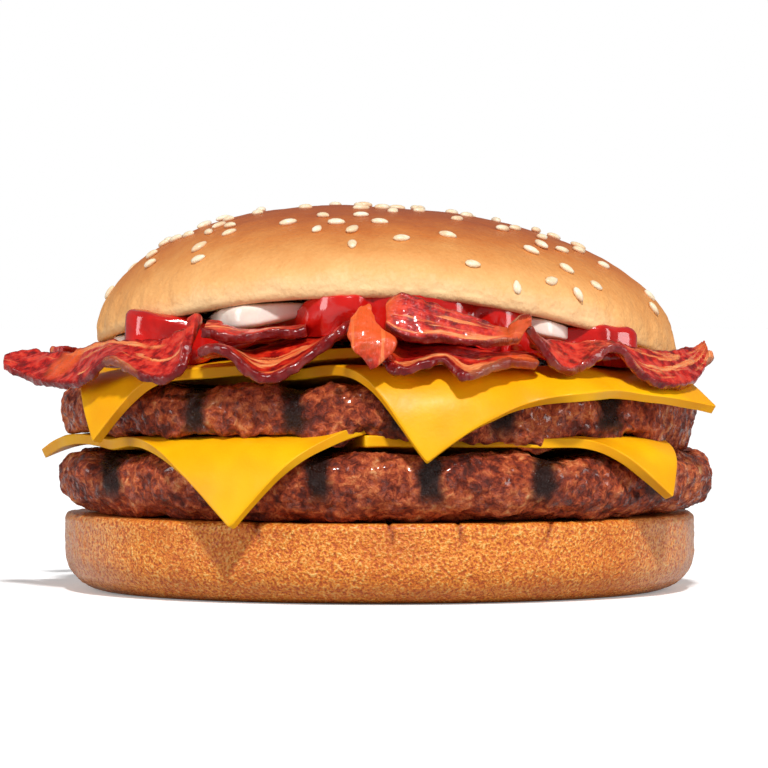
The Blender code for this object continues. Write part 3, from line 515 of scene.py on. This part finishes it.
# each strip's near and far edge, by their turning points (x, y, z) in millimetres
strips = {
    "bacon_left": (
        ((-71.5, -14, 43.0), (-66, -20, 40.5), (-61, -28, 39.5), (-55, -37, 39.8), (-50, -44, 44.2),
         (-45, -50, 42.0), (-40.5, -54, 40.5), (-36.5, -56, 42.0), (-35, -54, 47.5), (-34.5, -49, 52.5)),
        ((-71.5, -11, 44.4), (-66.5, -9, 45.4), (-62, -14, 45.2), (-57, -22, 45.4), (-52, -29, 47.0),
         (-46, -36, 47.6), (-40.5, -42, 47.6), (-36, -45, 49.5), (-33.5, -46, 51.5), (-33, -46.5, 52.5)),),
    "bacon_centre": (
        ((-33, -59, 45.8), (-29, -62, 47.0), (-25.5, -62.5, 44.2), (-22.6, -62.5, 41.4),
         (-18, -62.5, 41.4), (-13, -62, 45.0), (-7, -61, 49.8), (-2.2, -58.5, 53.0),
         (0.3, -63, 45.0), (4, -65.5, 42.2), (9, -65, 44.0), (12, -64, 44.4), (15.5, -66.5, 41.0),
         (22, -62, 44.0), (29, -57, 43.4)),
        ((-31, -48, 45.8), (-27, -48, 45.8), (-24, -48, 45.4), (-21, -48, 45.2), (-17, -48, 45.6),
         (-12, -48, 46.8), (-7, -48, 49.0), (-3, -48, 49.6), (1, -48, 48.4), (5, -48, 47.0),
         (9, -48, 47.0), (12, -48, 47.0), (16, -48, 46.4), (22, -47, 45.0), (28, -46, 44.2)),),
    "bacon_right": (
        ((27, -57.5, 50.6), (29.2, -57, 47.2), (31.6, -56.5, 43.8), (34.5, -55.5, 42.0),
         (38, -53, 43.6), (41.5, -50, 46.4), (44.5, -47, 46.2), (47, -45, 42.6),
         (49.5, -43, 40.6), (53.2, -39, 39.2), (57.5, -32, 39.6), (60.5, -23, 41.6),
         (62.5, -14.5, 45.2)),
        ((27.5, -48, 47.4), (29.5, -47, 48.4), (32, -45.5, 49.6), (34.5, -44.5, 49.8), (37, -43, 49.0),
         (39.5, -41, 48.2), (42, -40, 47.4), (44.5, -39.5, 46.8), (46.5, -38, 46.4),
         (50, -33, 45.8), (54.5, -25.5, 45.6), (58.5, -17.5, 46.0), (61.5, -10, 47.2)),),
    "bacon_shadow": (
        ((-32.5, -54.5, 49.4), (-29.5, -55, 48.8), (-26, -55.5, 48.0), (-22.5, -56, 48.6),
         (-19.5, -56, 49.4), (-17, -55.5, 49.2), (-15, -55, 49.4), (-13.5, -54.5, 49.8)),
        ((-31.5, -48.5, 50.8), (-28.5, -48.5, 50.8), (-25.5, -48.5, 50.4), (-22.5, -48.5, 50.6),
         (-19.5, -48.5, 50.6), (-17, -48.5, 50.4), (-15, -48.5, 50.2), (-13.5, -48.5, 50.2)),),
    "bacon_upper": (
        ((1.2, -61, 50.6), (4, -62, 48.8), (7.5, -62, 48.0), (11, -61.5, 48.2), (15, -61, 47.6),
         (19, -60.5, 47.4), (23, -60, 47.8), (27.5, -59, 47.2)),
        ((1.6, -57.8, 54.6), (4, -57.9, 56.4), (7, -57.8, 55.6), (11, -57.7, 54.0),
         (15, -57.6, 52.8), (19, -57.4, 51.2), (23, -57.2, 49.8), (27, -56.8, 48.6)),),
    "bacon_inner": (
        ((-31, -32, 45.2), (-28, -34, 45.8), (-22, -36, 45.8), (-12, -37, 48.0), (-2, -38, 46.4),
         (8, -38, 48.2), (17, -37, 46.2), (26, -35, 47.0), (33, -30, 45.4)),
        ((-33, -12, 44.2), (-29, -13, 45.0), (-22, -14, 46.4), (-12, -14, 46.2), (-2, -14, 47.8),
         (8, -14, 46.2), (18, -14, 47.4), (27, -12, 45.4), (37, -10, 45.0)),),
    "bacon_middle": (
        ((-61, -3, 44.6), (-52, -5, 43.0), (-41, -8, 44.8), (-29, -10, 45.0), (-17, -10.5, 47.2),
         (-5, -10.5, 45.8), (7, -10.5, 47.6), (18, -10, 45.6), (29, -8, 46.0), (38, -5, 44.4),
         (44, -2, 43.8)),
        ((-60, 11, 43.0), (-52, 14, 44.0), (-42, 15, 43.2), (-30, 16, 46.0), (-18, 16, 45.2),
         (-5, 16, 47.4), (8, 16, 45.8), (19, 16, 46.8), (30, 16, 44.8), (38, 16.5, 44.2),
         (43, 17, 43.8)),),
    "bacon_rear_inner": (
        ((-43, 20, 44.0), (-34, 19, 44.0), (-22, 18.5, 46.4), (-9, 18.5, 45.0), (4, 18.5, 47.0),
         (16, 18.5, 45.0), (27, 18.5, 45.6), (38, 20, 43.4)),
        ((-37, 35, 44.6), (-29, 38, 44.2), (-20, 39, 44.6), (-8, 40, 46.0), (4, 40, 44.6),
         (16, 40, 45.6), (25, 38, 44.0), (34, 34, 43.8)),),
    "bacon_rear_right": (
        ((66, 24, 44.8), (62, 31, 41.0), (57, 38, 40.4), (51, 44.5, 44.8), (44, 51, 42.6),
         (36, 56, 40.2), (27, 60, 44.6), (18, 62, 42.0), (10, 63, 40.6), (3, 61.5, 45.8)),
        ((60, 15, 45.6), (57, 20.5, 44.2), (52.5, 27.5, 43.2), (46, 36, 44.4), (39, 43, 44.4),
         (31, 44, 43.8), (24, 43, 45.4), (17, 43.5, 44.8), (10, 43.5, 44.6), (4, 43.5, 46.2)),),
    "bacon_rear_left": (
        ((0, 61, 43.0), (-6, 62.5, 41.4), (-13, 62, 46.0), (-20, 60, 43.2), (-28, 58, 40.6),
         (-37, 53.5, 44.8), (-44, 47, 43.0), (-51, 40.5, 40.8), (-58, 31, 43.4), (-65, 24, 45.6)),
        ((0, 43.5, 45.4), (-6, 43.5, 45.2), (-13, 43.5, 46.4), (-20, 43.5, 45.6), (-27, 43, 44.6),
         (-34, 41.5, 45.0), (-41, 40, 44.2), (-48, 34, 43.8), (-55, 24, 44.8), (-62, 16, 45.6)),)}
bacon = {"hidden": ("bacon_inner", "bacon_middle", "bacon_rear_inner"), "bead": 0.5, "pucker": 0.35,
         # crisper, more orange spots: (x, y, radius) in millimetres
         "crisp": ((-1, -57, 6.5), (-58, -24, 6), (25, -58, 5.5), (59, -14, 5.5), (20, 60, 6),
                   (-30, 52, 7), (52, 40, 6))}


def spline(points, t):
    # a Catmull-Rom curve through the points
    spans = len(points) - 1
    at = min(t * spans, spans - 1e-9)
    k, u = int(at), at - int(at)
    p = [np.array(points[min(max(k + d, 0), spans)], float) for d in (-1, 0, 1, 2)]
    return 0.5 * (2 * p[1] + (p[2] - p[0]) * u + (2 * p[0] - 5 * p[1] + 4 * p[2] - p[3]) * u ** 2
                  + (3 * p[1] - p[0] - 3 * p[2] + p[3]) * u ** 3)


def stripPlaces(node, points):
    # how far along (mm) and across (0 to 1) its strip each point lies
    near, far = strips[node]
    rows, columns = 90, 13
    grid, places, along = [], [], 0.0
    before = None
    for i in range(rows + 1):
        front, back = spline(near, i / rows), spline(far, i / rows)
        middle = (front + back) / 2
        along += 0 if before is None else float(np.linalg.norm(middle - before))
        before = middle
        for j in range(columns):
            v = j / (columns - 1)
            grid.append(front * (1 - v) + back * v)
            places.append((along, v))
    tree = KDTree(len(grid))
    for i, p in enumerate(grid):
        tree.insert(p, i)
    tree.balance()
    found = np.zeros((len(points), 2))
    for i, p in enumerate(points / mm):
        total = 0
        for _, k, distance in tree.find_n(p, 4):
            weight = 1 / (distance + 0.3) ** 2
            found[i] += weight * np.array(places[k])
            total += weight
        found[i] /= total
    return found[:, 0], found[:, 1]


def baconFinish():
    rasher = Finish("friedBacon", Coat_Roughness=0.12, Specular_IOR_Level=0.4,
                    Subsurface_Weight=0.08, Subsurface_Scale=1.0 * mm,
                    Subsurface_Radius=(1.0, 0.2, 0.1))
    along, across = rasher.attribute("along"), rasher.attribute("across")
    lane = rasher.node("ShaderNodeCombineXYZ", {}, {"X": along * 0.045, "Y": across * 3.6,
                                                    "Z": rasher.attribute("strip")})
    streaks = rasher.noise(1, 3.0, 0.55, 0.8, where=lane)
    fibre = rasher.node("ShaderNodeCombineXYZ", {}, {"X": along * 0.22, "Y": across * 26,
                                                     "Z": rasher.attribute("strip")})
    grain = rasher.noise(1, 3.0, 0.6, 0.5, where=fibre)
    spots = rasher.noise(2.2, 4.0, 0.6)
    lean = rasher.ramp(spots.between(0.32, 0.68), [
        (0.0, (0.16, 0.001, 0.002)), (0.5, (0.52, 0.008, 0.004)), (1.0, (0.82, 0.045, 0.011))])
    fat = rasher.ramp(grain.between(0.3, 0.7), [(0.0, (0.78, 0.12, 0.022)), (1.0, (0.92, 0.38, 0.14))])
    meaty = rasher.blend(streaks.between(0.55, 0.63), lean, fat)
    crisp = rasher.blend(rasher.attribute("crisp"), meaty, (0.84, 0.12, 0.016))
    edge = (across - 0.5).math("ABSOLUTE").between(0.41, 0.49)
    colour = rasher.blend(edge * 0.85, crisp, (0.14, 0.003, 0.004))
    height = grain * 0.5 + spots * 0.6
    return rasher.wire(Base_Color=colour, Roughness=0.26 + spots * 0.2 - edge * 0.12,
                       Coat_Weight=rasher.noise(2.2, 3.0).between(0.47, 0.62) * 0.9,
                       Normal=rasher.bump(height, 0.55, 0.9))


def makeBacon():
    look = baconFinish()
    for number, node in enumerate(strips):
        piece = refined("".join(w.title() if i else w for i, w in enumerate(node.split("_"))), node,
                        2 if node in bacon["hidden"] else 3, 0.35)
        points, normals = pointsOf(piece.data), normalsOf(piece.data)
        along, across = stripPlaces(node, points)
        edge = smoothstep(0.36, 0.48, np.abs(across - 0.5))
        seed = 3.1 * number
        offset = bacon["pucker"] * fractal(points, 4.5, 3, seed) * (1 - edge)
        offset += bacon["bead"] * edge * (fractal(points, 2.4, 2, seed + 7) + 0.1)
        setPoints(piece.data, points + normals * (offset * mm)[:, None])
        setValues(piece.data, "along", along)
        setValues(piece.data, "across", across)
        setValues(piece.data, "strip", np.full(len(points), 5.3 * number))
        crisp = np.zeros(len(points))
        for x, y, size in bacon["crisp"]:
            away = np.hypot(points[:, 0] / mm - x, points[:, 1] / mm - y)
            crisp += 1 - smoothstep(0.4 * size, size, away)
        setValues(piece.data, "crisp", 0.7 * np.clip(crisp, 0, 1))
        finished(piece, look, "bacon", node)
    makeCurl(look)


# the small crisp curl in front of the middle strip: its left and right edge (x, y, z) in millimetres
curl = {"left": ((-3.4, -59.6, 54.4), (-5.2, -61.4, 52.4), (-6.0, -64.0, 49.6), (-5.0, -66.0, 46.6),
                 (-3.0, -66.6, 44.4), (-1.6, -66.4, 43.0)),
        "right": ((-1.8, -59.8, 54.8), (-0.8, -61.4, 53.0), (0.4, -63.4, 50.6), (3.4, -64.4, 48.4),
                  (2.2, -65.6, 45.6), (-0.4, -66.2, 43.4)),
        "bulge": 1.2, "thick": 1.1, "rows": 26, "columns": 9}


def makeCurl(look):
    rows, columns = curl["rows"], curl["columns"]
    points, faces = [], []
    for i in range(rows):
        left, right = spline(curl["left"], i / (rows - 1)), spline(curl["right"], i / (rows - 1))
        for j in range(columns):
            v = j / (columns - 1)
            place = left * (1 - v) + right * v
            place[1] -= curl["bulge"] * sin(pi * v) * sin(pi * (0.15 + 0.7 * i / (rows - 1)))
            points.append(place * mm)
            if i and j:
                a = i * columns + j
                faces.append((a - columns - 1, a - 1, a, a - columns))
    mesh = bpy.data.meshes.new("baconCurl")
    mesh.from_pydata(points, [], faces)
    piece = newPiece("baconCurl", mesh)
    shell = piece.modifiers.new("thickness", "SOLIDIFY")
    shell.thickness, shell.offset = curl["thick"] * mm, -1
    smoother = piece.modifiers.new("refine", "SUBSURF")
    smoother.levels = smoother.render_levels = 2
    baked(piece)
    points, normals = pointsOf(piece.data), normalsOf(piece.data)
    offset = 0.35 * fractal(points, 3.2, 3, 21.0)
    setPoints(piece.data, points + normals * (offset * mm)[:, None])
    high = points[:, 2] / mm
    setValues(piece.data, "along", high)
    setValues(piece.data, "across", 0.5 + (points[:, 0] / mm + 1.5) / 10)
    setValues(piece.data, "strip", np.full(len(points), 40.0))
    setValues(piece.data, "crisp", 0.75 * smoothstep(42, 50, high))
    finished(piece, look, "bacon")


# sauces

# drips: (direction, half-width in degrees, how far it hangs in millimetres); sag: all round;
# lobes: (direction, half-width, forward, up), beside the push that all of the rim gets
sauces = {"ketchup": {"colour": (0.62, 0.008, 0.005), "dark": (0.40, 0.004, 0.003), "wave": 0.9,
                      "roughness": 0.1, "seed": 2.0, "sag": 3.0, "push": 0.0,
                      "drips": ((-141, 14, 6), (-98, 13, 1.5), (-64, 9, 3), (-40, 12, 3), (35, 16, 3),
                                (120, 15, 3)),
                      "lobes": ((-143, 17, 7.5, 4.8), (-99, 14, 3.5, 3.8), (-81, 16, 7.0, 5.4),
                                (-63, 13, 5.0, 4.4), (-40, 20, 4.5, 3.6), (35, 14, 2.0, 1.0),
                                (120, 14, 2.0, 1.0))},
          "mayonnaise": {"colour": (0.95, 0.86, 0.76), "dark": (0.93, 0.77, 0.65), "wave": 0.3,
                         "roughness": 0.2, "seed": 8.0, "sag": 0.6, "push": -4.0,
                         "drips": ((-120, 14, 0.8), (-160, 10, 3), (-54, 8, 1.0), (-20, 12, 2),
                                   (80, 20, 1.5)),
                         "lobes": ((-120, 18, 5.5, 0.6), (-163, 14, 6.0, 0.0), (-54, 13, 5.2, 0.4),
                                   (-19, 15, 6.0, 0.0), (80, 24, 5.0, 0.0), (150, 16, 5.0, 0.0))}}


def sauceFinish(name, look):
    sauce = Finish(name + "Sauce", Coat_Weight=0.6, Coat_Roughness=0.06, Subsurface_Weight=0.15,
                   Subsurface_Scale=1.5 * mm,
                   Subsurface_Radius=(1.0, 0.12, 0.08) if name == "ketchup" else (1.0, 0.6, 0.45))
    swirl = sauce.noise(7, 3.0, 0.5, 0.8)
    fine = sauce.noise(2.0, 2.0)
    colour = sauce.blend(swirl.between(0.4, 0.7), look["colour"], look["dark"])
    return sauce.wire(Base_Color=colour, Roughness=look["roughness"] + fine * 0.1,
                      Normal=sauce.bump(swirl + fine * 0.3, 0.5, 0.5))


def makeSauces():
    bed = treeOf(*strips, "cheese_upper_left", "cheese_upper_right", "patty_upper")
    for name, look in sauces.items():
        piece = refined(name + "Layer", name, 3)
        points, normals = pointsOf(piece.data), normalsOf(piece.data)
        reach = np.hypot(points[:, 0], points[:, 1]) / mm
        direction = bearings(points)
        rim = smoothstep(40, 47, reach)
        wave = look["wave"] * (fractal(points, 5, 2, look["seed"]) - 0.1) * rim
        points += normals * (wave * mm)[:, None]
        hang = sum(size * nearness(direction, way, width, 0.3) for way, width, size in look["drips"])
        push, lift = look["push"] * rim, np.zeros(len(points))
        for way, width, forward, up in look["lobes"]:
            near = nearness(direction, way, width, 0.1)
            push = np.maximum(push, look["push"] * rim + forward * near * smoothstep(40, 49, reach))
            lift += up * near * smoothstep(43, 50, reach) * smoothstep(-0.3, 0.4, normals[:, 2])
        points[:, :2] *= (1 + push / np.maximum(reach, 1))[:, None]
        points[:, 2] += lift * mm
        under = smoothstep(-0.35, 0.3, -normals[:, 2])
        drop = under * (look["sag"] * smoothstep(25, 40, reach) + hang * smoothstep(43, 49, reach))
        for i in np.nonzero(drop > 0.05)[0]:
            at = bed.ray_cast(Vector(points[i]), Vector((0, 0, -1)), 30 * mm)[0]
            room = drop[i] if at is None else (points[i, 2] - at.z) / mm - 0.05
            points[i, 2] -= min(drop[i], max(room, 0)) * mm
        setPoints(piece.data, points)
        finished(piece, sauceFinish(name, look), name, name)


# top bun and its sesame seeds

crown = {"radius": 55.6, "x": 1.3, "top": 73.2, "under": 53.8, "arch": 8.4, "archReach": 54,
         "leanX": -0.030, "leanY": -0.040, "power": 2.3, "domeLean": -0.06, "rim": 1.3, "sides": 420,
         "rows": 84, "wrinkle": 0.5}
seeds = {"count": 95, "length": 3.3, "width": 2.0, "height": 1.2, "taper": 0.38, "sunk": 0.22,
         "spacing": 5.2, "spread": 0.95, "draw": 7, "freeBehind": -14.0}
# the seeds that the front view shows: (x, y) in millimetres and the turn of the long axis in degrees
shownSeeds = (
    (-17, -33.5, 35), (-10.5, -30.5, -25), (-8, -37, -10), (-11.5, -40.5, 85), (-5, -42, 60),
    (-5, -48.5, -85), (-3.5, -31, 0), (0, -37, -20), (0.5, -17, 0), (-3.5, -20.5, 5), (-14, -16, 0),
    (-23, -15.5, 10), (-28.5, -15, 15), (-32, -24, -20), (-30.2, -20.5, 80), (-28, -24.5, 15),
    (-28, -30.5, 60), (-36, -17, 20), (-38.5, -13.5, 30), (-41, -9, 35), (-43, -15, 40),
    (-43, -22, 35), (-33.5, -31.5, 75), (-33.5, -36.5, 30), (-51.5, -4.5, 65), (4, -46, 5),
    (12.5, -41.5, -40), (2.5, -24, 50), (7.5, -18, -5), (14.5, -25.5, 0), (16.5, -13, -20),
    (17, -50, -15), (23, -26, -10), (25.5, -20.5, -15), (28, -37, -65), (30, -30.5, 80),
    (30.5, -22, -10), (34, -28, -35), (34.5, -37.5, -60), (31.5, -44, 10), (25, -49.5, 85),
    (36.5, -41.5, -80), (40, -35.5, -45), (37.5, -19.5, -25), (42, -22, -30), (51, -13.5, -55),
    (51.5, -18.5, -65))


def underHeight(x, y):
    arched = crown["arch"] * (x / crown["archReach"]) ** 2
    return crown["under"] - arched + crown["leanX"] * x + crown["leanY"] * y


def crownTop(x, y):
    # the dome over a point, in millimetres
    share = hypot(x - crown["x"], y) / crown["radius"]
    if share < 1e-6:
        return crown["top"]
    rim = underHeight(crown["x"] + (x - crown["x"]) / share, y / share) + crown["rim"]
    rise = sqrt(max(1 - min(share, 1) ** crown["power"], 0))
    lean = crown["domeLean"] * (x - crown["x"]) * (1 - min(share, 1) ** 2)
    return rim + (crown["top"] - rim) * rise + lean


def crownFinish():
    crust = Finish("topCrust", Specular_IOR_Level=0.3, Coat_Roughness=0.3)
    rise = crust.attribute("rise")
    mottle = crust.noise(7, 4.0, 0.6)
    skin = crust.noise(0.7, 3.0, 0.6)
    sideways = crust.node("ShaderNodeSeparateXYZ", {}, {0: crust.objectPoint})
    ends = sideways.math("ABSOLUTE").between(30 * mm, 57 * mm)
    # the crust is browner towards the top, which is real browning, and painted browner towards its left
    # and right ends as painted shade where the dome turns from the light
    browningAndShade = rise + ends * 0.2 + (mottle - 0.5) * 0.34 + (skin - 0.5) * 0.20
    colour = crust.ramp(browningAndShade, [
        (0.02, (0.88, 0.56, 0.27)), (0.22, (0.84, 0.43, 0.15)), (0.48, (0.69, 0.285, 0.078)),
        (0.68, (0.60, 0.180, 0.036)), (0.86, (0.46, 0.100, 0.018)), (1.0, (0.39, 0.075, 0.013))])
    pores = crust.cells(1.1, 0.3)
    height = skin * 0.5 + pores * 0.35 + mottle * 0.5
    return crust.wire(Base_Color=colour, Roughness=0.60 - rise * 0.18,
                      Coat_Weight=rise.between(0.3, 0.9) * 0.12, Normal=crust.bump(height, 0.4, 0.8))


def makeCrown():
    radius, centre, sides = crown["radius"], crown["x"], crown["sides"]
    # each ring's reach, its height over the underside (None on the dome) and its share of the dome
    lines = [(radius * s, 0, 0) for s in (0.2, 0.4, 0.6, 0.75, 0.86, 0.93)]
    lines += [(radius - 1 + sin(a), crown["rim"] * (1 - cos(a)), 0)
              for a in np.linspace(0, pi / 2, 7)[:-1]]
    lines += [(radius * (1 - q * q) ** (1 / crown["power"]), None, q)
              for q in np.linspace(0, 1, crown["rows"])[:-1]]
    rings, rises = [], [0.0]
    for reach, lift, q in lines:
        ring = []
        for k in range(sides):
            angle = turn * k / sides
            x, y = centre + reach * cos(angle), reach * sin(angle)
            z = crownTop(x, y) if lift is None else underHeight(x, y) + lift
            ring.append((x * mm, y * mm, z * mm))
        rings.append(ring)
        rises += [q] * sides
    piece = ringBody("topBun", rings, (centre * mm, 0, underHeight(centre, 0) * mm),
                     (centre * mm, 0, crown["top"] * mm))
    rises = np.array(rises + [1.0])
    points, normals = pointsOf(piece.data), normalsOf(piece.data)
    outer = smoothstep(0.9, 0.98, np.hypot(points[:, 0] - centre * mm, points[:, 1]) / (radius * mm))
    outer = np.maximum(outer, smoothstep(0.0, 0.1, rises))
    wrinkle = smoothstep(0.0, 0.05, rises) * (1 - smoothstep(0.12, 0.42, rises))
    offset = 0.30 * fractal(points, 16, 2, 1.0) + 0.10 * fractal(points, 3.5, 3, 4.0)
    offset += wrinkle * crown["wrinkle"] * fractal(points, 4, 3, 6.0, (0.8, 0.8, 2.2))
    setPoints(piece.data, points + normals * (offset * outer * mm)[:, None])
    setValues(piece.data, "rise", rises)
    finished(piece, crownFinish(), "crown_crust", "bun_crown")


def seedPlaces():
    rng = np.random.default_rng(seeds["draw"])
    places = [(x, y, radians(spin)) for x, y, spin in shownSeeds]
    while len(places) < seeds["count"]:
        share = seeds["spread"] * sqrt(rng.random())
        angle = turn * rng.random()
        x, y = crown["x"] + share * crown["radius"] * cos(angle), share * crown["radius"] * sin(angle)
        spin = turn * rng.random()
        thin = rng.random() < share ** 4 * 0.6
        close = any(hypot(x - p[0], y - p[1]) < seeds["spacing"] for p in places)
        if y > seeds["freeBehind"] and not thin and not close:
            places.append((x, y, spin))
    return places


def seedFinish():
    husk = Finish("sesame", Coat_Weight=0.25, Coat_Roughness=0.2, Subsurface_Weight=0.15,
                  Subsurface_Scale=0.8 * mm, Subsurface_Radius=(1.0, 0.8, 0.5))
    tone = husk.noise(3.5, 3.0)
    colour = husk.ramp(tone.between(0.3, 0.7), [(0.0, (0.80, 0.56, 0.33)), (0.5, (0.88, 0.71, 0.48)),
                                                (1.0, (0.94, 0.83, 0.65))])
    return husk.wire(Base_Color=colour, Roughness=0.42 + tone * 0.1,
                     Normal=husk.bump(husk.noise(0.5, 2.0), 0.12, 0.6))


class Tree:
    # a Geometry Nodes tree and its named inputs
    def __init__(self, name, inputs):
        self.group = bpy.data.node_groups.new(name, "GeometryNodeTree")
        face = self.group.interface
        face.new_socket("Geometry", in_out="INPUT", socket_type="NodeSocketGeometry")
        self.names = {label: face.new_socket(label, in_out="INPUT", socket_type=kind).identifier
                      for label, kind in inputs.items()}
        face.new_socket("Geometry", in_out="OUTPUT", socket_type="NodeSocketGeometry")
        self.inputs = self.group.nodes.new("NodeGroupInput").outputs

    def node(self, kind, settings, sockets, output=0):
        made = self.group.nodes.new(kind)
        for key, value in settings.items():
            setattr(made, key, value)
        for key, value in sockets.items():
            if isinstance(value, bpy.types.NodeSocket):
                self.group.links.new(value, made.inputs[key])
            else:
                made.inputs[key].default_value = value
        return made.outputs[output]

    def maths(self, operation, first, second):
        return self.node("ShaderNodeMath", {"operation": operation}, {0: first, 1: second})


def seedTree():
    tree = Tree("seedScatter", {"Half length": "NodeSocketFloat", "Half width": "NodeSocketFloat",
                                "Half height": "NodeSocketFloat", "Taper": "NodeSocketFloat",
                                "Husk": "NodeSocketMaterial"})
    ball = tree.node("GeometryNodeMeshUVSphere", {}, {"Segments": 10, "Rings": 6, "Radius": 1.0})
    place = tree.node("GeometryNodeInputPosition", {}, {})
    split = tree.node("ShaderNodeSeparateXYZ", {}, {0: place}).node
    tip = tree.node("ShaderNodeMapRange", {"interpolation_type": "SMOOTHSTEP"},
                    {"Value": split.outputs[0], "From Min": -0.2, "From Max": 1.0})
    narrow = tree.maths("SUBTRACT", 1.0, tree.maths("MULTIPLY", tip, tree.inputs["Taper"]))
    wide = tree.maths("MULTIPLY", tree.maths("MULTIPLY", split.outputs[1], narrow),
                      tree.inputs["Half width"])
    shape = tree.node("ShaderNodeCombineXYZ", {}, {
        "X": tree.maths("MULTIPLY", split.outputs[0], tree.inputs["Half length"]), "Y": wide,
        "Z": tree.maths("MULTIPLY", split.outputs[2], tree.inputs["Half height"])})
    seed = tree.node("GeometryNodeSetPosition", {}, {"Geometry": ball, "Position": shape})
    facing = tree.node("GeometryNodeInputNamedAttribute", {"data_type": "FLOAT_VECTOR"},
                       {"Name": "facing"})
    size = tree.node("FunctionNodeRandomValue", {"data_type": "FLOAT"},
                     {2: 0.88, 3: 1.12, "Seed": 4}, 1)
    many = tree.node("GeometryNodeInstanceOnPoints", {}, {
        "Points": tree.inputs["Geometry"], "Instance": seed, "Rotation": facing, "Scale": size})
    real = tree.node("GeometryNodeRealizeInstances", {}, {"Geometry": many})
    smooth = tree.node("GeometryNodeSetShadeSmooth", {}, {"Geometry": real})
    painted = tree.node("GeometryNodeSetMaterial", {}, {"Geometry": smooth,
                                                        "Material": tree.inputs["Husk"]})
    tree.group.links.new(painted, tree.group.nodes.new("NodeGroupOutput").inputs[0])
    return tree


def makeSeeds():
    spots, facings = [], []
    for x, y, spin in seedPlaces():
        step = 0.5
        normal = Vector((crownTop(x - step, y) - crownTop(x + step, y),
                         crownTop(x, y - step) - crownTop(x, y + step), 2 * step)).normalized()
        turned = normal.to_track_quat("Z", "Y").to_matrix() @ Matrix.Rotation(spin, 3, "Z")
        place = Vector((x, y, crownTop(x, y))) + normal * seeds["height"] * seeds["sunk"]
        spots.append(place * mm)
        facings += list(turned.to_euler())
    mesh = bpy.data.meshes.new("sesameSeeds")
    mesh.from_pydata(spots, [], [])
    mesh.attributes.new("facing", "FLOAT_VECTOR", "POINT").data.foreach_set("vector", facings)
    piece = newPiece("sesameSeeds", mesh)
    husk = seedFinish()
    tree = seedTree()
    scatter = piece.modifiers.new("scatter", "NODES")
    scatter.node_group = tree.group
    scatter[tree.names["Half length"]] = seeds["length"] / 2 * mm
    scatter[tree.names["Half width"]] = seeds["width"] / 2 * mm
    scatter[tree.names["Half height"]] = seeds["height"] / 2 * mm
    scatter[tree.names["Taper"]] = seeds["taper"]
    scatter[tree.names["Husk"]] = husk
    baked(piece)
    finished(piece, husk, "crown_crust")


# floor and lights

# the floor is lighter to the camera than the light that it gives back; lengths in metres
studio = {"floorSeen": 0.95, "floorGives": 0.55, "floorGlow": 0.22, "floorReach": 9, "ambient": 0.20,
          "sun": 2.9, "sunAngle": 5, "sunFrom": (0.10, -1.0, 1.10), "panel": (0.25, 0.5),
          "panelPower": 2.0, "panelAt": (0.7, -0.3, 0.25), "panelAim": (0, 0, 0.03)}


def makeFloor():
    paper = Finish("paper", Roughness=0.9, Specular_IOR_Level=0.0)
    seen = paper.node("ShaderNodeLightPath", {}, {}, "Is Camera Ray")
    paper.wire(Base_Color=paper.blend(seen, (studio["floorGives"],) * 3, (studio["floorSeen"],) * 3),
               Emission_Color=paper.blend(seen, (0, 0, 0), (studio["floorGlow"],) * 3))
    paper.shader.inputs["Emission Strength"].default_value = 1
    mesh, far = bpy.data.meshes.new("floor"), studio["floorReach"]
    mesh.from_pydata([(-far, -far, 0), (far, -far, 0), (far, far, 0), (-far, far, 0)], [], [(0, 1, 2, 3)])
    floor = newPiece("floor", mesh)
    mesh.materials.append(paper.material)


def makeLights():
    sun = bpy.data.lights.new("key", "SUN")
    sun.energy, sun.angle = studio["sun"], radians(studio["sunAngle"])
    key = newPiece("key", sun)
    key.rotation_euler = Vector(studio["sunFrom"]).to_track_quat("Z", "Y").to_euler()
    for side in (-1, 1):
        panel = bpy.data.lights.new("panel", "AREA")
        panel.shape, (panel.size, panel.size_y) = "RECTANGLE", studio["panel"]
        panel.energy = studio["panelPower"]
        stand = newPiece("panel", panel)
        across, back, high = studio["panelAt"]
        stand.location = (side * across, back, high)
        aim = Vector(studio["panelAim"]) - stand.location
        stand.rotation_euler = aim.to_track_quat("-Z", "Y").to_euler()


def makeWorld():
    world = bpy.data.worlds.new("studio")
    scene.world = world
    world.use_nodes = True
    nodes, links = world.node_tree.nodes, world.node_tree.links
    back = nodes["Background"]
    back.inputs["Color"].default_value = (1, 1, 1, 1)
    path = nodes.new("ShaderNodeLightPath")
    level = nodes.new("ShaderNodeMapRange")
    level.inputs["To Min"].default_value = studio["ambient"]
    level.inputs["To Max"].default_value = 1.0
    links.new(path.outputs["Is Camera Ray"], level.inputs["Value"])
    links.new(level.outputs[0], back.inputs["Strength"])


def main():
    makeCamera()
    makeFloor()
    makeLights()
    makeWorld()
    print("camera and light are up")
    makeHeel()
    print("bottom bun done")
    makePatties()
    print("patties done")
    makeCheese()
    print("cheese done")
    makeBacon()
    print("bacon done")
    makeSauces()
    print("sauces done")
    makeCrown()
    makeSeeds()
    print("top bun and seeds done")


main()
